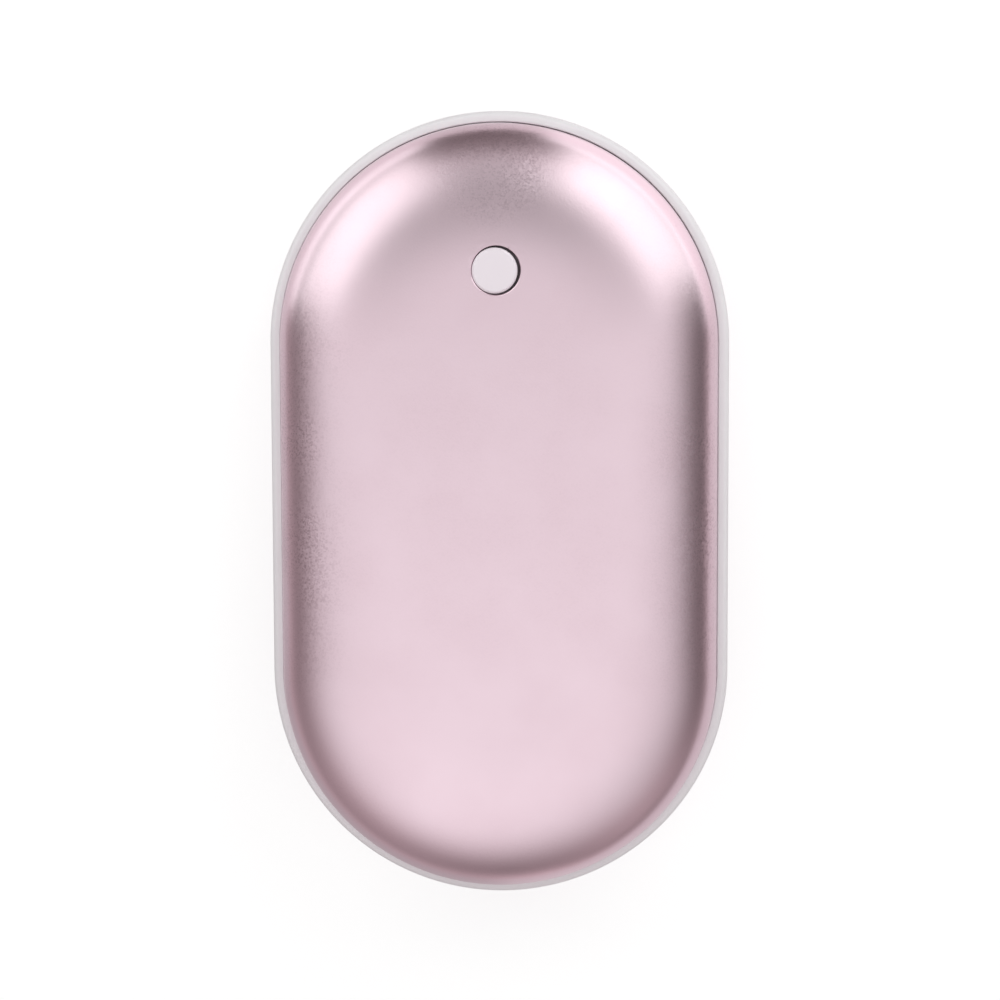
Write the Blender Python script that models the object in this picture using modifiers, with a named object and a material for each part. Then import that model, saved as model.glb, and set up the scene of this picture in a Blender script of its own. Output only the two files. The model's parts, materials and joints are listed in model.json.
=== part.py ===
# Rechargeable hand warmer: two deep-drawn aluminium shells on a moulded frame that holds
# two cells, a circuit board with its sockets, and a heater film under each shell.
#
# Metres, +Z up. It lies on its rear shell, so +Z leaves the front face and +Y points to the
# end with the sockets and the button. The origin is the middle of the flat that it rests on.
# The body grows from what it holds: its length, width and height are worked out from the
# cells, the board and the stack of pad, film and shell on each side.

import math

import bmesh
import bpy
from mathutils import Matrix, Vector

# Cells
cell_diameter = 0.0183
cell_length = 0.0652
cell_spacing = 0.0003
cell_cap_radius = 0.0041
cell_cap_height = 0.0006
cell_groove_depth = 0.0005
cell_groove_place = 0.0031
cell_groove_width = 0.0012

# Gaps
seat_gap = 0.0002       # a piece on the seat that carries it
bond_gap = 0.0001       # a glued or soldered piece on its face
seam_gap = 0.00016      # the fine line round each shell
cell_gap = 0.00035      # the cells under the cover and over the floor
corner_clearance = 0.0003
overrun = 0.002         # how far a cutter runs past what it cuts
weld_distance = 0.00001

# Shells
shell_wall = 0.0008
lip_depth = 0.0012
crown_flat = 0.009      # half-width of the flat in the middle of each shell
dome_power = 2.5
dome_steps = 8
hull_steps = 5

# Frame
band_height = 0.0096
band_wall = 0.00148
side_bay = 0.01007      # between the cells and the band, where the bosses stand
rim_flat = 0.0003
rim_power = 3.4
rim_degrees = (-90, -62, -34, 0, 34, 62, 90)
shelf_thickness = 0.0012
hull_wall = 0.0011
floor_thickness = 0.001
end_segments = 18
saddle_thickness = 0.0014
saddle_drop = 0.0009    # saddles end this far below the middle of the cells
saddle_shares = (0.16, 0.5, 0.84)
stop_thickness = 0.0012
lip_rib_width = 0.001
lip_rib_reach = 0.0019
lip_rib_count = 22

# Cover screws and their bosses
boss_radius = 0.0024
pilot_radius = 0.00085
pilot_depth = 0.0068
well_radius = 0.0021
well_wall = 0.0009
well_floor = 0.001
screw_clearance = 0.0011
screw_share = 0.86      # of the straight side, from the middle to each pair of screws
screw_head_radius = 0.0017
screw_head_height = 0.0012
head_flat_share = 0.6   # of the head's radius, flat on its top
screw_shank_radius = 0.00075
screw_length = 0.0058

# Stack on each side of the cells, from the frame or cover out to the shell
foam_thickness = 0.0013
film_thickness = 0.0004
film_half_width = 0.0155
foam_margin = 0.0008    # the foam ends this far inside the film
film_tail = 0.0045      # bare end of the film, where its leads are soldered
film_margin = 0.0006    # the film starts this far inside the cells' low end
film_lead_run = 0.0037  # from the film's end to the middle of the slot in the roof
pad_shares = (0.5, 1.0)

# Board
board_thickness = 0.0012
board_margin = 0.00035  # from the board's edge to the pieces on it
part_gap = 0.0004       # between two pieces on the board
board_drop = 0.001      # from the middle of the body down to the board's upper face
board_edge_gap = 0.0008
board_corner_share = 0.82
strap_space = 0.00178   # between the cells and the board
post_radius = 0.0022
post_inset = 0.0026
sink_gap = 0.0003

# Sockets
usb_a_width = 0.0132
usb_a_height = 0.0058
usb_a_depth = 0.01145
usb_a_wall = 0.00035
usb_a_corner = 0.0006
usb_a_tongue_side = 0.0007
usb_a_tongue_thickness = 0.00184
usb_a_tongue_rise = 0.0005
usb_a_tongue_setback = 0.0011
usb_a_block_depth = 0.0016
micro_width = 0.0076
micro_height = 0.00285
micro_depth = 0.0052
micro_wall = 0.0003
micro_taper = 0.0009
micro_tongue_width = 0.0037
micro_tongue_thickness = 0.0006
micro_tongue_setback = 0.0009
micro_block_depth = 0.001
port_spacing = 0.0029
port_margin = 0.0006
port_recess = 0.0005
port_gap = 0.0002
pocket_margin = 0.00045

# Button and switch
button_radius = 0.0029
button_gap = 0.00022
button_proud = 0.0002
button_bevel = 0.00035
bevel_share = 0.3       # of the bevel, where its two facets meet
button_flange_reach = 0.0013
button_flange_thickness = 0.0008
button_travel = 0.0003
hole_bevel = 0.00018
stem_radius = 0.002
stem_blade = 0.0012
stem_relief = 0.0001    # the blades end this far inside the collar
stem_collar = 0.0014
sleeve_gap = 0.0002
sleeve_wall = 0.001
sleeve_length = 0.0042
light_hole_radius = 0.0009
switch_side = 0.0061
switch_body_height = 0.0034
switch_height = 0.005
switch_seat = 0.0006
plunger_radius = 0.00175
plunger_gap = 0.00012
press_gap = 0.0001

# Small pieces on the board
led_side = 0.0016
led_height = 0.0009
led_gap = 0.00075
inductor_side = 0.0062
inductor_height = 0.0031
inductor_base = 0.0009
chip_height = 0.0015
charger_size = (0.0046, 0.004)
control_size = (0.0056, 0.004)
transistor_size = (0.0026, 0.0029)
capacitor_radius = 0.0018
capacitor_height = 0.0054
capacitor_bevel = 0.0003
thermistor_size = (0.0016, 0.0008, 0.0008)
thermistor_window = 0.0006
small_bevel = 0.00015

# Straps and leads
strap_thickness = 0.0003
strap_half_height = 0.0035
strap_overhang = 0.0036
strap_corner = 0.0009
cell_lead_radius = 0.00062
film_lead_radius = 0.00045
film_lead_spacing = 0.0018
film_lead_side = 0.0016
solder_share = 0.6      # of the film's bare end, where a lead starts
lead_turn_shares = (0.3, 0.7, 0.4)  # of the cells' length twice, then of the way across
slot_side = 0.0007
slot_width = 0.0038
lead_steps = 3          # between two chosen points of a lead's route

# Sizes that follow from the ones above
cell_radius = cell_diameter / 2
cell_x = (cell_diameter + cell_spacing) / 2
cells_half = cell_x + cell_radius
half_width = cells_half + side_bay + band_wall
inner_wall = half_width - band_wall
shell_half_width = inner_wall - seam_gap

skin = shell_wall + bond_gap + film_thickness + seat_gap
stack = skin + foam_thickness + seat_gap + floor_thickness + cell_gap
body_height = cell_diameter + 2 * stack
middle = body_height / 2
dome_height = (body_height - band_height) / 2

port_half = (usb_a_width + port_spacing + micro_width) / 2
usb_a_x = usb_a_width / 2 - port_half
micro_x = port_half - micro_width / 2
transistor_room = port_half + sink_gap + part_gap + transistor_size[0]
capacitor_room = micro_x + inductor_side / 2 + part_gap + 2 * capacitor_radius
board_half_width = max(transistor_room, capacitor_room) + board_margin
control_room = screw_head_radius + part_gap + control_size[1] + part_gap + sink_gap + usb_a_depth
charger_room = cell_lead_radius + charger_size[1] + inductor_side + 3 * part_gap + micro_depth
board_reach = post_inset + max(control_room, charger_room)
port_reach = math.sqrt(half_width ** 2 - (port_half + port_margin) ** 2) - port_recess
hull_room = shell_half_width - shell_wall - seat_gap - hull_wall - corner_clearance
tail_reach = math.sqrt(hull_room ** 2 - cells_half ** 2)
half_straight = (cell_length + strap_space + board_reach - tail_reach - port_reach) / 2
half_length = half_straight + half_width

port_mouth = half_straight + port_reach
board_low = port_mouth - board_reach
cell_high = board_low - strap_space
cell_low = cell_high - cell_length
button_y = board_low + board_margin + switch_side / 2
led_offset = switch_side / 2 + led_gap + led_side / 2
button_flange_radius = button_radius + button_flange_reach

band_low = middle - band_height / 2
band_high = middle + band_height / 2
rear_ledge = band_low + lip_depth
front_ledge = band_high - lip_depth
shelf_top = rear_ledge + shelf_thickness
floor_low = middle - cell_radius - cell_gap - floor_thickness
floor_high = floor_low + floor_thickness
roof_low = 2 * middle - floor_high
roof_high = 2 * middle - floor_low
hull_outside = shell_wall + seat_gap
hull_inside = hull_outside + hull_wall
board_top = middle - board_drop
board_under = board_top - board_thickness
switch_top = board_top + bond_gap + switch_height
screw_x = inner_wall - (side_bay / 2)
screw_y = half_straight * screw_share
post_x = board_half_width - post_inset
post_y = board_low + post_inset
slot_front = cell_high - slot_width / 2
slot_rear = cell_high + strap_thickness + stop_thickness + slot_width


# Scene, collections and materials

for old in list(bpy.data.objects):
    bpy.data.objects.remove(old, do_unlink=True)

parts = bpy.data.collections.new("hand_warmer")
cutters = bpy.data.collections.new("cutters")
bpy.context.scene.collection.children.link(parts)
bpy.context.scene.collection.children.link(cutters)


def material(name, colour, roughness, metallic=0.0):
    made = bpy.data.materials.new(name)
    made.use_nodes = True
    shader = made.node_tree.nodes["Principled BSDF"]
    shader.inputs["Base Color"].default_value = (*colour, 1.0)
    shader.inputs["Roughness"].default_value = roughness
    shader.inputs["Metallic"].default_value = metallic
    return made


rose_aluminium = material("rose_anodised_aluminium", (0.72, 0.53, 0.56), 0.32, 1.0)
white_abs = material("white_abs", (0.78, 0.77, 0.78), 0.4)
natural_abs = material("natural_abs", (0.55, 0.54, 0.5), 0.55)
foam_grey = material("grey_foam", (0.16, 0.16, 0.17), 0.95)
polyimide = material("amber_polyimide", (0.55, 0.26, 0.05), 0.35)
cell_sleeve = material("blue_cell_sleeve", (0.06, 0.2, 0.42), 0.4)
nickel = material("nickel", (0.62, 0.6, 0.56), 0.3, 1.0)
board_green = material("green_board", (0.03, 0.16, 0.07), 0.45)
steel = material("plated_steel", (0.6, 0.6, 0.61), 0.28, 1.0)
black_resin = material("black_resin", (0.02, 0.02, 0.022), 0.5)
lens_white = material("led_resin", (0.8, 0.8, 0.72), 0.3)
red_insulation = material("red_insulation", (0.5, 0.02, 0.02), 0.5)
black_insulation = material("black_insulation", (0.02, 0.02, 0.02), 0.5)


# Making and placing

def link(name, mesh, look=None):
    """An object in the parts collection, or a hidden helper where it has no look."""
    made = bpy.data.objects.new(name, mesh)
    if look is None:
        cutters.objects.link(made)
        made.hide_render = True
        made.display_type = "WIRE"
    else:
        parts.objects.link(made)
        mesh.materials.append(look)
    return made


def finish(shape, name, look=None, smooth=False):
    """Turns a bmesh into an object. Round pieces are shaded smooth."""
    mesh = bpy.data.meshes.new(name)
    shape.to_mesh(mesh)
    shape.free()
    if smooth:
        mesh.shade_smooth()
        mesh.set_sharp_from_angle(angle=math.radians(35))
    return link(name, mesh, look)


def add_box(shape, low, high, turn=0.0, about=(0.0, 0.0)):
    """A box between two corners, turned about an upright line."""
    low, high = Vector(low), Vector(high)
    place = Matrix.Translation((low + high) / 2)
    size = Matrix.Diagonal((*(high - low), 1.0))
    pivot = Matrix.Translation((*about, 0.0))
    spin = pivot @ Matrix.Rotation(turn, 4, "Z") @ pivot.inverted()
    bmesh.ops.create_cube(shape, size=1.0, matrix=spin @ place @ size)


def add_cylinder(shape, x, y, low, high, radius, sides=20, along="Z"):
    """A cylinder between two levels, or along +Y between two places with x, y as x, z."""
    height = high - low
    centre = Vector((x, y, (low + high) / 2))
    turn = Matrix.Identity(4)
    if along == "Y":
        centre = Vector((x, (low + high) / 2, y))
        turn = Matrix.Rotation(math.pi / 2, 4, "X")
    bmesh.ops.create_cone(
        shape, cap_ends=True, segments=sides, radius1=radius, radius2=radius,
        depth=height, matrix=Matrix.Translation(centre) @ turn,
    )


def box(name, low, high, look=None, bevel=0.0):
    shape = bmesh.new()
    add_box(shape, low, high)
    made = finish(shape, name, look)
    if bevel:
        round_edges(made, bevel)
    return made


def cylinder(name, x, y, low, high, radius, look=None, sides=20, along="Z"):
    shape = bmesh.new()
    add_cylinder(shape, x, y, low, high, radius, sides, along)
    return finish(shape, name, look, smooth=look is not None)


def turned(name, profile, x, y, look=None, steps=24, along="Z"):
    """A profile of (radius, height) from the top down, screwed round its axis."""
    mesh = bpy.data.meshes.new(name)
    edges = [(i, i + 1) for i in range(len(profile) - 1)]
    mesh.from_pydata([(radius, 0.0, height) for radius, height in profile], edges, [])
    made = link(name, mesh, look)
    spin = made.modifiers.new("turn", "SCREW")
    spin.steps = steps
    spin.render_steps = steps
    spin.use_merge_vertices = True
    spin.merge_threshold = weld_distance
    spin.use_smooth_shade = True
    made.location = (x, y, 0.0)
    if along == "Y":
        made.location = (x, 0.0, y)
        made.rotation_euler = (-math.pi / 2, 0.0, 0.0)
    return made


def prism(name, outline, low, high, look=None, along="Z"):
    """A flat outline pushed from one level to another, along +Z or +Y."""
    shape = bmesh.new()
    if along == "Y":
        corners = [shape.verts.new((x, low, z)) for x, z in outline]
        push = Vector((0.0, high - low, 0.0))
    else:
        corners = [shape.verts.new((x, y, low)) for x, y in outline]
        push = Vector((0.0, 0.0, high - low))
    face = shape.faces.new(corners)
    grown = bmesh.ops.extrude_face_region(shape, geom=[face], use_keep_orig=True)
    moved = [item for item in grown["geom"] if isinstance(item, bmesh.types.BMVert)]
    bmesh.ops.translate(shape, verts=moved, vec=push)
    bmesh.ops.recalc_face_normals(shape, faces=shape.faces)
    return finish(shape, name, look)


def round_edges(made, width, segments=1, angle=math.radians(40)):
    bevel = made.modifiers.new("round", "BEVEL")
    bevel.width = width
    bevel.segments = segments
    bevel.limit_method = "ANGLE"
    bevel.angle_limit = angle


def round_chosen(made, width, chosen, segments=2):
    """Rounds the edges whose run, as a vector, is chosen."""
    shape = bmesh.new()
    shape.from_mesh(made.data)
    edges = []
    for edge in shape.edges:
        run = edge.verts[1].co - edge.verts[0].co
        if chosen(run):
            edges.append(edge)
    bmesh.ops.bevel(
        shape, geom=edges, offset=width, offset_type="OFFSET",
        segments=segments, profile=0.5, affect="EDGES",
    )
    shape.to_mesh(made.data)
    shape.free()


def combine(made, other, operation="DIFFERENCE"):
    change = made.modifiers.new(other.name, "BOOLEAN")
    change.operation = operation
    change.object = other


# The body's outline is a stadium: two half circles joined by straight sides

def stadium(half, straight=None, centre_y=0.0):
    straight = half_straight if straight is None else straight
    points = []
    for end in (1, -1):
        for step in range(end_segments + 1):
            turn = math.pi * step / end_segments
            across = end * half * math.cos(turn)
            along = end * (straight + half * math.sin(turn))
            points.append((across, centre_y + along))
    return points


def level_ring(half, height):
    return [(x, y, height) for x, y in stadium(half)]


def loft(name, rings, look=None, cap_first=True, cap_last=True, smooth=True):
    """Skin between rings that have as many points each, listed from the bottom up."""
    shape = bmesh.new()
    loops = [[shape.verts.new(point) for point in ring] for ring in rings]
    for lower, upper in zip(loops, loops[1:]):
        for here in range(len(lower)):
            after = (here + 1) % len(lower)
            shape.faces.new((lower[here], lower[after], upper[after], upper[here]))
    if cap_first:
        shape.faces.new(list(reversed(loops[0])))
    if cap_last:
        shape.faces.new(loops[-1])
    if cap_first and cap_last:
        bmesh.ops.recalc_face_normals(shape, faces=shape.faces)
    return finish(shape, name, look, smooth)


# The dome is a superellipse from the band's edge in to the flat in the middle

def dome_point(angle, depth):
    """Half-width and rise over the band's edge of the dome moved in by a depth."""
    reach = shell_half_width - crown_flat
    cosine, sine = max(math.cos(angle), 0.0), math.sin(angle)
    across = reach * cosine ** (2 / dome_power)
    rise = dome_height * sine ** (2 / dome_power)
    outward = Vector((
        cosine ** (2 - 2 / dome_power) / reach,
        sine ** (2 - 2 / dome_power) / dome_height,
    )).normalized()
    return crown_flat + across - depth * outward.x, rise - depth * outward.y


def dome_angle(depth, rise):
    """Where the dome, moved in by a depth, has a given rise."""
    low, high = 0.0, math.pi / 2
    for _ in range(40):
        between = (low + high) / 2
        if dome_point(between, depth)[1] < rise:
            low = between
        else:
            high = between
    return low


def dome_rise(x, y):
    """Rise of the dome's outer face at a place."""
    beyond = max(abs(y) - half_straight, 0.0)
    share = (math.hypot(x, beyond) - crown_flat) / (shell_half_width - crown_flat)
    share = min(max(share, 0.0), 1.0)
    return dome_height * (1 - share ** dome_power) ** (1 / dome_power)


def dome_rings(side, depth, rise, steps):
    """Rings of the dome from the band's edge in to a rise, on the front or the rear."""
    edge = band_high if side > 0 else band_low
    last = dome_angle(depth, rise)
    rings = []
    for step in range(steps + 1):
        half, up = dome_point(last * step / steps, depth)
        rings.append(level_ring(half, edge + side * up))
    return rings


# Shells: an open dome with its lip, thickened inwards

def shell(name, side):
    lip_end = (front_ledge + seat_gap) if side > 0 else (rear_ledge - seat_gap)
    rings = [level_ring(shell_half_width, lip_end)]
    rings += dome_rings(side, 0.0, dome_height, dome_steps)
    if side < 0:
        rings.reverse()
    made = loft(name, rings, rose_aluminium, cap_first=side < 0, cap_last=side > 0)
    wall = made.modifiers.new("wall", "SOLIDIFY")
    wall.thickness = shell_wall
    wall.offset = -1.0
    wall.use_even_offset = True
    return made


def make_shells():
    front = shell("front_shell", 1)
    shell("rear_shell", -1)
    crown = band_high + dome_height
    hole = button_radius + button_gap
    profile = [
        (0.0, crown + overrun),
        (hole + hole_bevel, crown + overrun),
        (hole + hole_bevel, crown),
        (hole, crown - hole_bevel),
        (hole, crown - shell_wall - overrun),
        (0.0, crown - shell_wall - overrun),
    ]
    combine(front, turned("button_hole", profile, 0.0, button_y, steps=32))


# Frame: a tray with the white band round it, ribs, bosses and the ports' cut-outs

def band_rings():
    """The crowned outer face of the band, from its lower edge to its upper one."""
    inside = inner_wall + rim_flat
    rings = []
    for degrees in rim_degrees:
        turn = math.radians(degrees)
        bulge = max(math.cos(turn), 0.0) ** (2 / rim_power)
        climb = abs(math.sin(turn)) ** (2 / rim_power)
        half = inside + (half_width - inside) * bulge
        height = middle + math.copysign(climb, degrees) * band_height / 2
        rings.append(level_ring(half, height))
    return rings


def hull(depth, level, steps):
    """The tray's hull under the band, from its floor's level up to the band."""
    rings = dome_rings(-1, depth, band_low - level, steps)
    rings.reverse()
    return rings


def tray():
    recess = shell_half_width - hull_outside
    shelf = shell_half_width - hull_inside
    inside = hull(hull_inside, floor_high, hull_steps)
    inside.reverse()
    rings = hull(hull_outside, floor_low, hull_steps)
    rings += [level_ring(recess, rear_ledge), level_ring(inner_wall, rear_ledge)]
    rings += [level_ring(inner_wall, band_low)]
    rings += band_rings()
    rings += [level_ring(inner_wall, band_high), level_ring(inner_wall, shelf_top)]
    rings += [level_ring(shelf, shelf_top)]
    rings += inside
    return loft("mid_frame", rings, white_abs)


def tray_core():
    """The tray's space out to the middle of its walls, which trims ribs and bosses."""
    depth = hull_outside + hull_wall / 2
    half = inner_wall + band_wall / 2
    shelf_middle = rear_ledge + shelf_thickness / 2
    rings = hull(depth, floor_low + floor_thickness / 2, hull_steps)
    rings += [level_ring(shell_half_width - depth, shelf_middle)]
    rings += [level_ring(half, shelf_middle), level_ring(half, band_high)]
    return loft("tray_core", rings)


def cell_spaces():
    """Room for both cells, with the clearance of their saddles."""
    shape = bmesh.new()
    for x in (-cell_x, cell_x):
        low, high = cell_low - overrun, cell_high + overrun
        add_cylinder(shape, x, middle, low, high, cell_radius + seat_gap, 32, "Y")
    return finish(shape, "cell_spaces")


def saddles(core):
    """Three saddles under the cells."""
    shape = bmesh.new()
    for share in saddle_shares:
        y = cell_low + share * cell_length
        low = (-half_width, y - saddle_thickness / 2, floor_low)
        high = (half_width, y + saddle_thickness / 2, middle - saddle_drop)
        add_box(shape, low, high)
    made = finish(shape, "saddles")
    combine(made, core, "INTERSECT")
    combine(made, cell_spaces())
    return made


def end_stops(core):
    """A stop past each end of the cells, lower than the straps."""
    shape = bmesh.new()
    stand_off = strap_thickness + bond_gap
    top = middle - strap_half_height - seat_gap
    for outer in (cell_low - stand_off - stop_thickness, cell_high + stand_off):
        low = (-half_width, outer, floor_low)
        high = (half_width, outer + stop_thickness, top)
        add_box(shape, low, high)
    made = finish(shape, "end_stops")
    combine(made, core, "INTERSECT")
    return made


def boss_places():
    return [(x, y) for y in (-screw_y, screw_y) for x in (-screw_x, screw_x)]


def post_places():
    return [(-post_x, post_y), (post_x, post_y)]


def bosses(core):
    """Four bosses for the cover's screws and two posts for the board's."""
    shape = bmesh.new()
    for x, y in boss_places():
        add_cylinder(shape, x, y, floor_low, front_ledge, boss_radius)
    for x, y in post_places():
        add_cylinder(shape, x, y, floor_low, board_under - seat_gap, post_radius)
    made = finish(shape, "bosses")
    combine(made, core, "INTERSECT")
    return made


def pilot_holes():
    shape = bmesh.new()
    for x, y in boss_places():
        add_cylinder(shape, x, y, front_ledge - pilot_depth, front_ledge + overrun, pilot_radius, 16)
    for x, y in post_places():
        top = board_under - seat_gap
        add_cylinder(shape, x, y, top - pilot_depth, top + overrun / 2, pilot_radius, 16)
    return finish(shape, "pilot_holes")


def lip_ribs():
    """Small ribs inside the band that carry the front shell's edge and the cover's skirt."""
    shape = bmesh.new()
    straight = 2 * half_straight
    arc = math.pi * inner_wall
    whole = 2 * (straight + arc)
    outer = band_wall / 2
    for rib in range(lip_rib_count):
        run = whole * (rib + 0.5) / lip_rib_count
        if run < straight:
            x, y, turn = inner_wall, run - half_straight, 0.0
        elif run < straight + arc:
            turn = (run - straight) / inner_wall
            x, y = inner_wall * math.cos(turn), half_straight + inner_wall * math.sin(turn)
        elif run < 2 * straight + arc:
            x, y, turn = -inner_wall, half_straight - (run - straight - arc), math.pi
        else:
            turn = math.pi + (run - 2 * straight - arc) / inner_wall
            x, y = inner_wall * math.cos(turn), inner_wall * math.sin(turn) - half_straight
        if y > board_low - lip_rib_width - seat_gap:
            continue  # the board and the sockets fill that end
        low = (x - lip_rib_reach, y - lip_rib_width / 2, rear_ledge + shelf_thickness / 2)
        high = (x + outer, y + lip_rib_width / 2, front_ledge)
        add_box(shape, low, high, turn, (x, y))
    return finish(shape, "lip_ribs")


def port_cuts():
    """Each socket's way through the band, and the shallow pocket round its mouth."""
    shape = bmesh.new()
    outside = half_length + overrun
    sizes = [
        (usb_a_x, usb_a_width, usb_a_depth, middle - usb_a_height / 2, middle + usb_a_height / 2),
        (micro_x, micro_width, micro_depth, board_top + bond_gap, board_top + bond_gap + micro_height),
    ]
    for x, width, depth, under, over in sizes:
        half = width / 2 + port_gap
        low = (x - half, port_mouth - depth - port_gap, under - port_gap)
        high = (x + half, port_mouth + port_gap, over + port_gap)
        add_box(shape, low, high)
    made = finish(shape, "socket_ways")
    pockets = bmesh.new()
    for x, width, depth, under, over in sizes:
        half = width / 2 + pocket_margin
        low = (x - half, port_mouth, under - pocket_margin)
        high = (x + half, outside, over + pocket_margin)
        add_box(pockets, low, high)
    return made, finish(pockets, "port_pockets")


def lead_slot(name, y, low, high):
    """Where a film's two leads pass the floor or the roof."""
    return box(
        name,
        (slot_side, y - slot_width / 2, low - overrun / 2),
        (slot_side + slot_width, y + slot_width / 2, high + overrun / 2),
    )


def make_frame():
    frame = tray()
    core = tray_core()
    combine(frame, saddles(core), "UNION")
    combine(frame, end_stops(core), "UNION")
    combine(frame, bosses(core), "UNION")
    combine(frame, lip_ribs(), "UNION")
    combine(frame, pilot_holes())
    for cutter in port_cuts():
        combine(frame, cutter)
    combine(frame, lead_slot("floor_slot", slot_rear, floor_low, floor_high))


# Cover: a dished moulding over the cells, screwed down in four wells

def cover_rings(depth, level, steps):
    return dome_rings(1, depth, level - band_high, steps)


def make_cover():
    skirt = front_ledge + 2 * seat_gap
    outside = cover_rings(hull_outside, roof_high, hull_steps)
    inside = cover_rings(hull_inside, roof_low, hull_steps)
    inside.reverse()
    rings = inside
    rings += [level_ring(shell_half_width - hull_inside, skirt)]
    rings += [level_ring(shell_half_width - hull_outside, skirt)]
    rings += outside
    cover = loft("inner_cover", rings, natural_abs)

    depth = hull_outside + hull_wall / 2
    plug = [level_ring(shell_half_width - depth, front_ledge - overrun)]
    plug += cover_rings(depth, (roof_low + roof_high) / 2, hull_steps)
    core = loft("cover_core", plug)

    well_under = front_ledge + seat_gap
    wells = bmesh.new()
    pockets = bmesh.new()
    holes = bmesh.new()
    for x, y in boss_places():
        add_cylinder(wells, x, y, well_under, roof_high, well_radius + well_wall)
        add_cylinder(pockets, x, y, well_under + well_floor, roof_high + overrun, well_radius)
        add_cylinder(holes, x, y, well_under - overrun, well_under + 2 * well_floor, screw_clearance)
    wells = finish(wells, "wells")
    combine(wells, core, "INTERSECT")
    combine(cover, wells, "UNION")
    combine(cover, finish(pockets, "well_pockets"))
    combine(cover, finish(holes, "screw_holes"))

    bore = stem_radius + sleeve_gap
    sleeve = cylinder(
        "button_sleeve", 0.0, button_y, roof_low - sleeve_length,
        (roof_low + roof_high) / 2, bore + sleeve_wall, sides=24,
    )
    combine(cover, sleeve, "UNION")
    openings = bmesh.new()
    low, high = roof_low - sleeve_length - overrun, roof_high + overrun
    add_cylinder(openings, 0.0, button_y, low, high, bore, 24)
    for x in (-led_offset, led_offset):
        add_cylinder(openings, x, button_y, roof_low - overrun / 2, high, light_hole_radius, 12)
    combine(cover, finish(openings, "sleeve_bore"))
    combine(cover, lead_slot("roof_slot", slot_front, roof_low, roof_high))


# Cells: turned cans with a rolled groove and a raised positive cap at the top end

def make_cells():
    for name, x in (("cell_left", -cell_x), ("cell_right", cell_x)):
        shoulder = cell_length - cell_cap_height
        groove = shoulder - cell_groove_place
        waist = cell_radius - cell_groove_depth
        profile = [
            (0.0, cell_length),
            (cell_cap_radius, cell_length),
            (cell_cap_radius, shoulder),
            (cell_radius - cell_groove_depth, shoulder),
            (cell_radius, shoulder - cell_groove_depth),
            (cell_radius, groove + cell_groove_width / 2),
            (waist, groove),
            (cell_radius, groove - cell_groove_width / 2),
            (cell_radius, cell_groove_depth),
            (cell_radius - cell_groove_depth, 0.0),
            (0.0, 0.0),
        ]
        made = turned(name, profile, x, middle, cell_sleeve, steps=28, along="Y")
        made.location.y = cell_low


def strap_outline():
    half = cell_x + strap_overhang
    return [
        (-half, middle - strap_half_height), (half, middle - strap_half_height),
        (half, middle + strap_half_height), (-half, middle + strap_half_height),
    ]


def make_straps():
    places = {
        "positive_strip": cell_high + bond_gap,
        "negative_strip": cell_low - bond_gap - strap_thickness,
    }
    for name, y in places.items():
        made = prism(name, strap_outline(), y, y + strap_thickness, nickel, along="Y")
        round_chosen(made, strap_corner, lambda run: abs(run.y) > strap_thickness / 2)


# Films and foam pads: they follow the inside of each dome

def film_places():
    """Half-length of the film's straight part and the middle of the film."""
    low = cell_low + film_margin
    high = slot_front - film_lead_run
    return (high - low) / 2 - film_half_width, (high + low) / 2


def dished_ring(outline, side, depth):
    edge = band_high if side > 0 else band_low
    return [(x, y, edge + side * (dome_rise(x, y) - depth)) for x, y in outline]


def pad(name, side, half, straight, centre, outer, inner, look):
    """A thin pad with its outer face under the dome. Its inner face is flat, or dished too."""
    outlines = []
    for share in pad_shares:
        outlines.append(stadium(half * share, straight, centre))
    outer_rings = [dished_ring(outline, side, outer) for outline in outlines]
    if inner is None:
        level = roof_high + seat_gap if side > 0 else floor_low - seat_gap
        inner_rings = [[(x, y, level) for x, y in outline] for outline in outlines]
    else:
        inner_rings = [dished_ring(outline, side, inner) for outline in outlines]
    return loft(name, inner_rings + outer_rings[::-1], look)


def make_pads():
    film_depth = shell_wall + bond_gap
    straight, centre = film_places()
    foam_half = film_half_width - foam_margin
    foam_straight = straight - film_tail / 2
    foam_centre = centre - film_tail / 2
    for name, side in (("front", 1), ("rear", -1)):
        pad(
            name + "_heater_film", side, film_half_width, straight, centre,
            film_depth, film_depth + film_thickness, polyimide,
        )
        foam = pad(
            name + "_foam_pad", side, foam_half, foam_straight, foam_centre,
            skin, None, foam_grey,
        )
        if side > 0:
            length, width, _ = thermistor_size
            window = box(
                "thermistor_window",
                (-length / 2 - thermistor_window, centre - width / 2 - thermistor_window, roof_high - overrun),
                (length / 2 + thermistor_window, centre + width / 2 + thermistor_window, 2 * middle),
            )
            combine(foam, window)


def make_thermistor():
    _, centre = film_places()
    length, width, height = thermistor_size
    top = 2 * middle - shell_wall - bond_gap - film_thickness - bond_gap
    box(
        "film_thermistor",
        (-length / 2, centre - width / 2, top - height),
        (length / 2, centre + width / 2, top),
        black_resin, small_bevel,
    )


# Board and what it carries

def board_outline():
    """Square at the low edge, and round beside the sockets where the band curves in."""
    reach = inner_wall - board_edge_gap
    corner = board_half_width * board_corner_share
    points = [(-board_half_width, board_low), (board_half_width, board_low)]
    for share in (0.0, 0.5, 1.0):
        x = board_half_width + (corner - board_half_width) * share
        points.append((x, half_straight + math.sqrt(reach ** 2 - x ** 2)))
    points += [(-x, y) for x, y in reversed(points[2:])]
    return points


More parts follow.
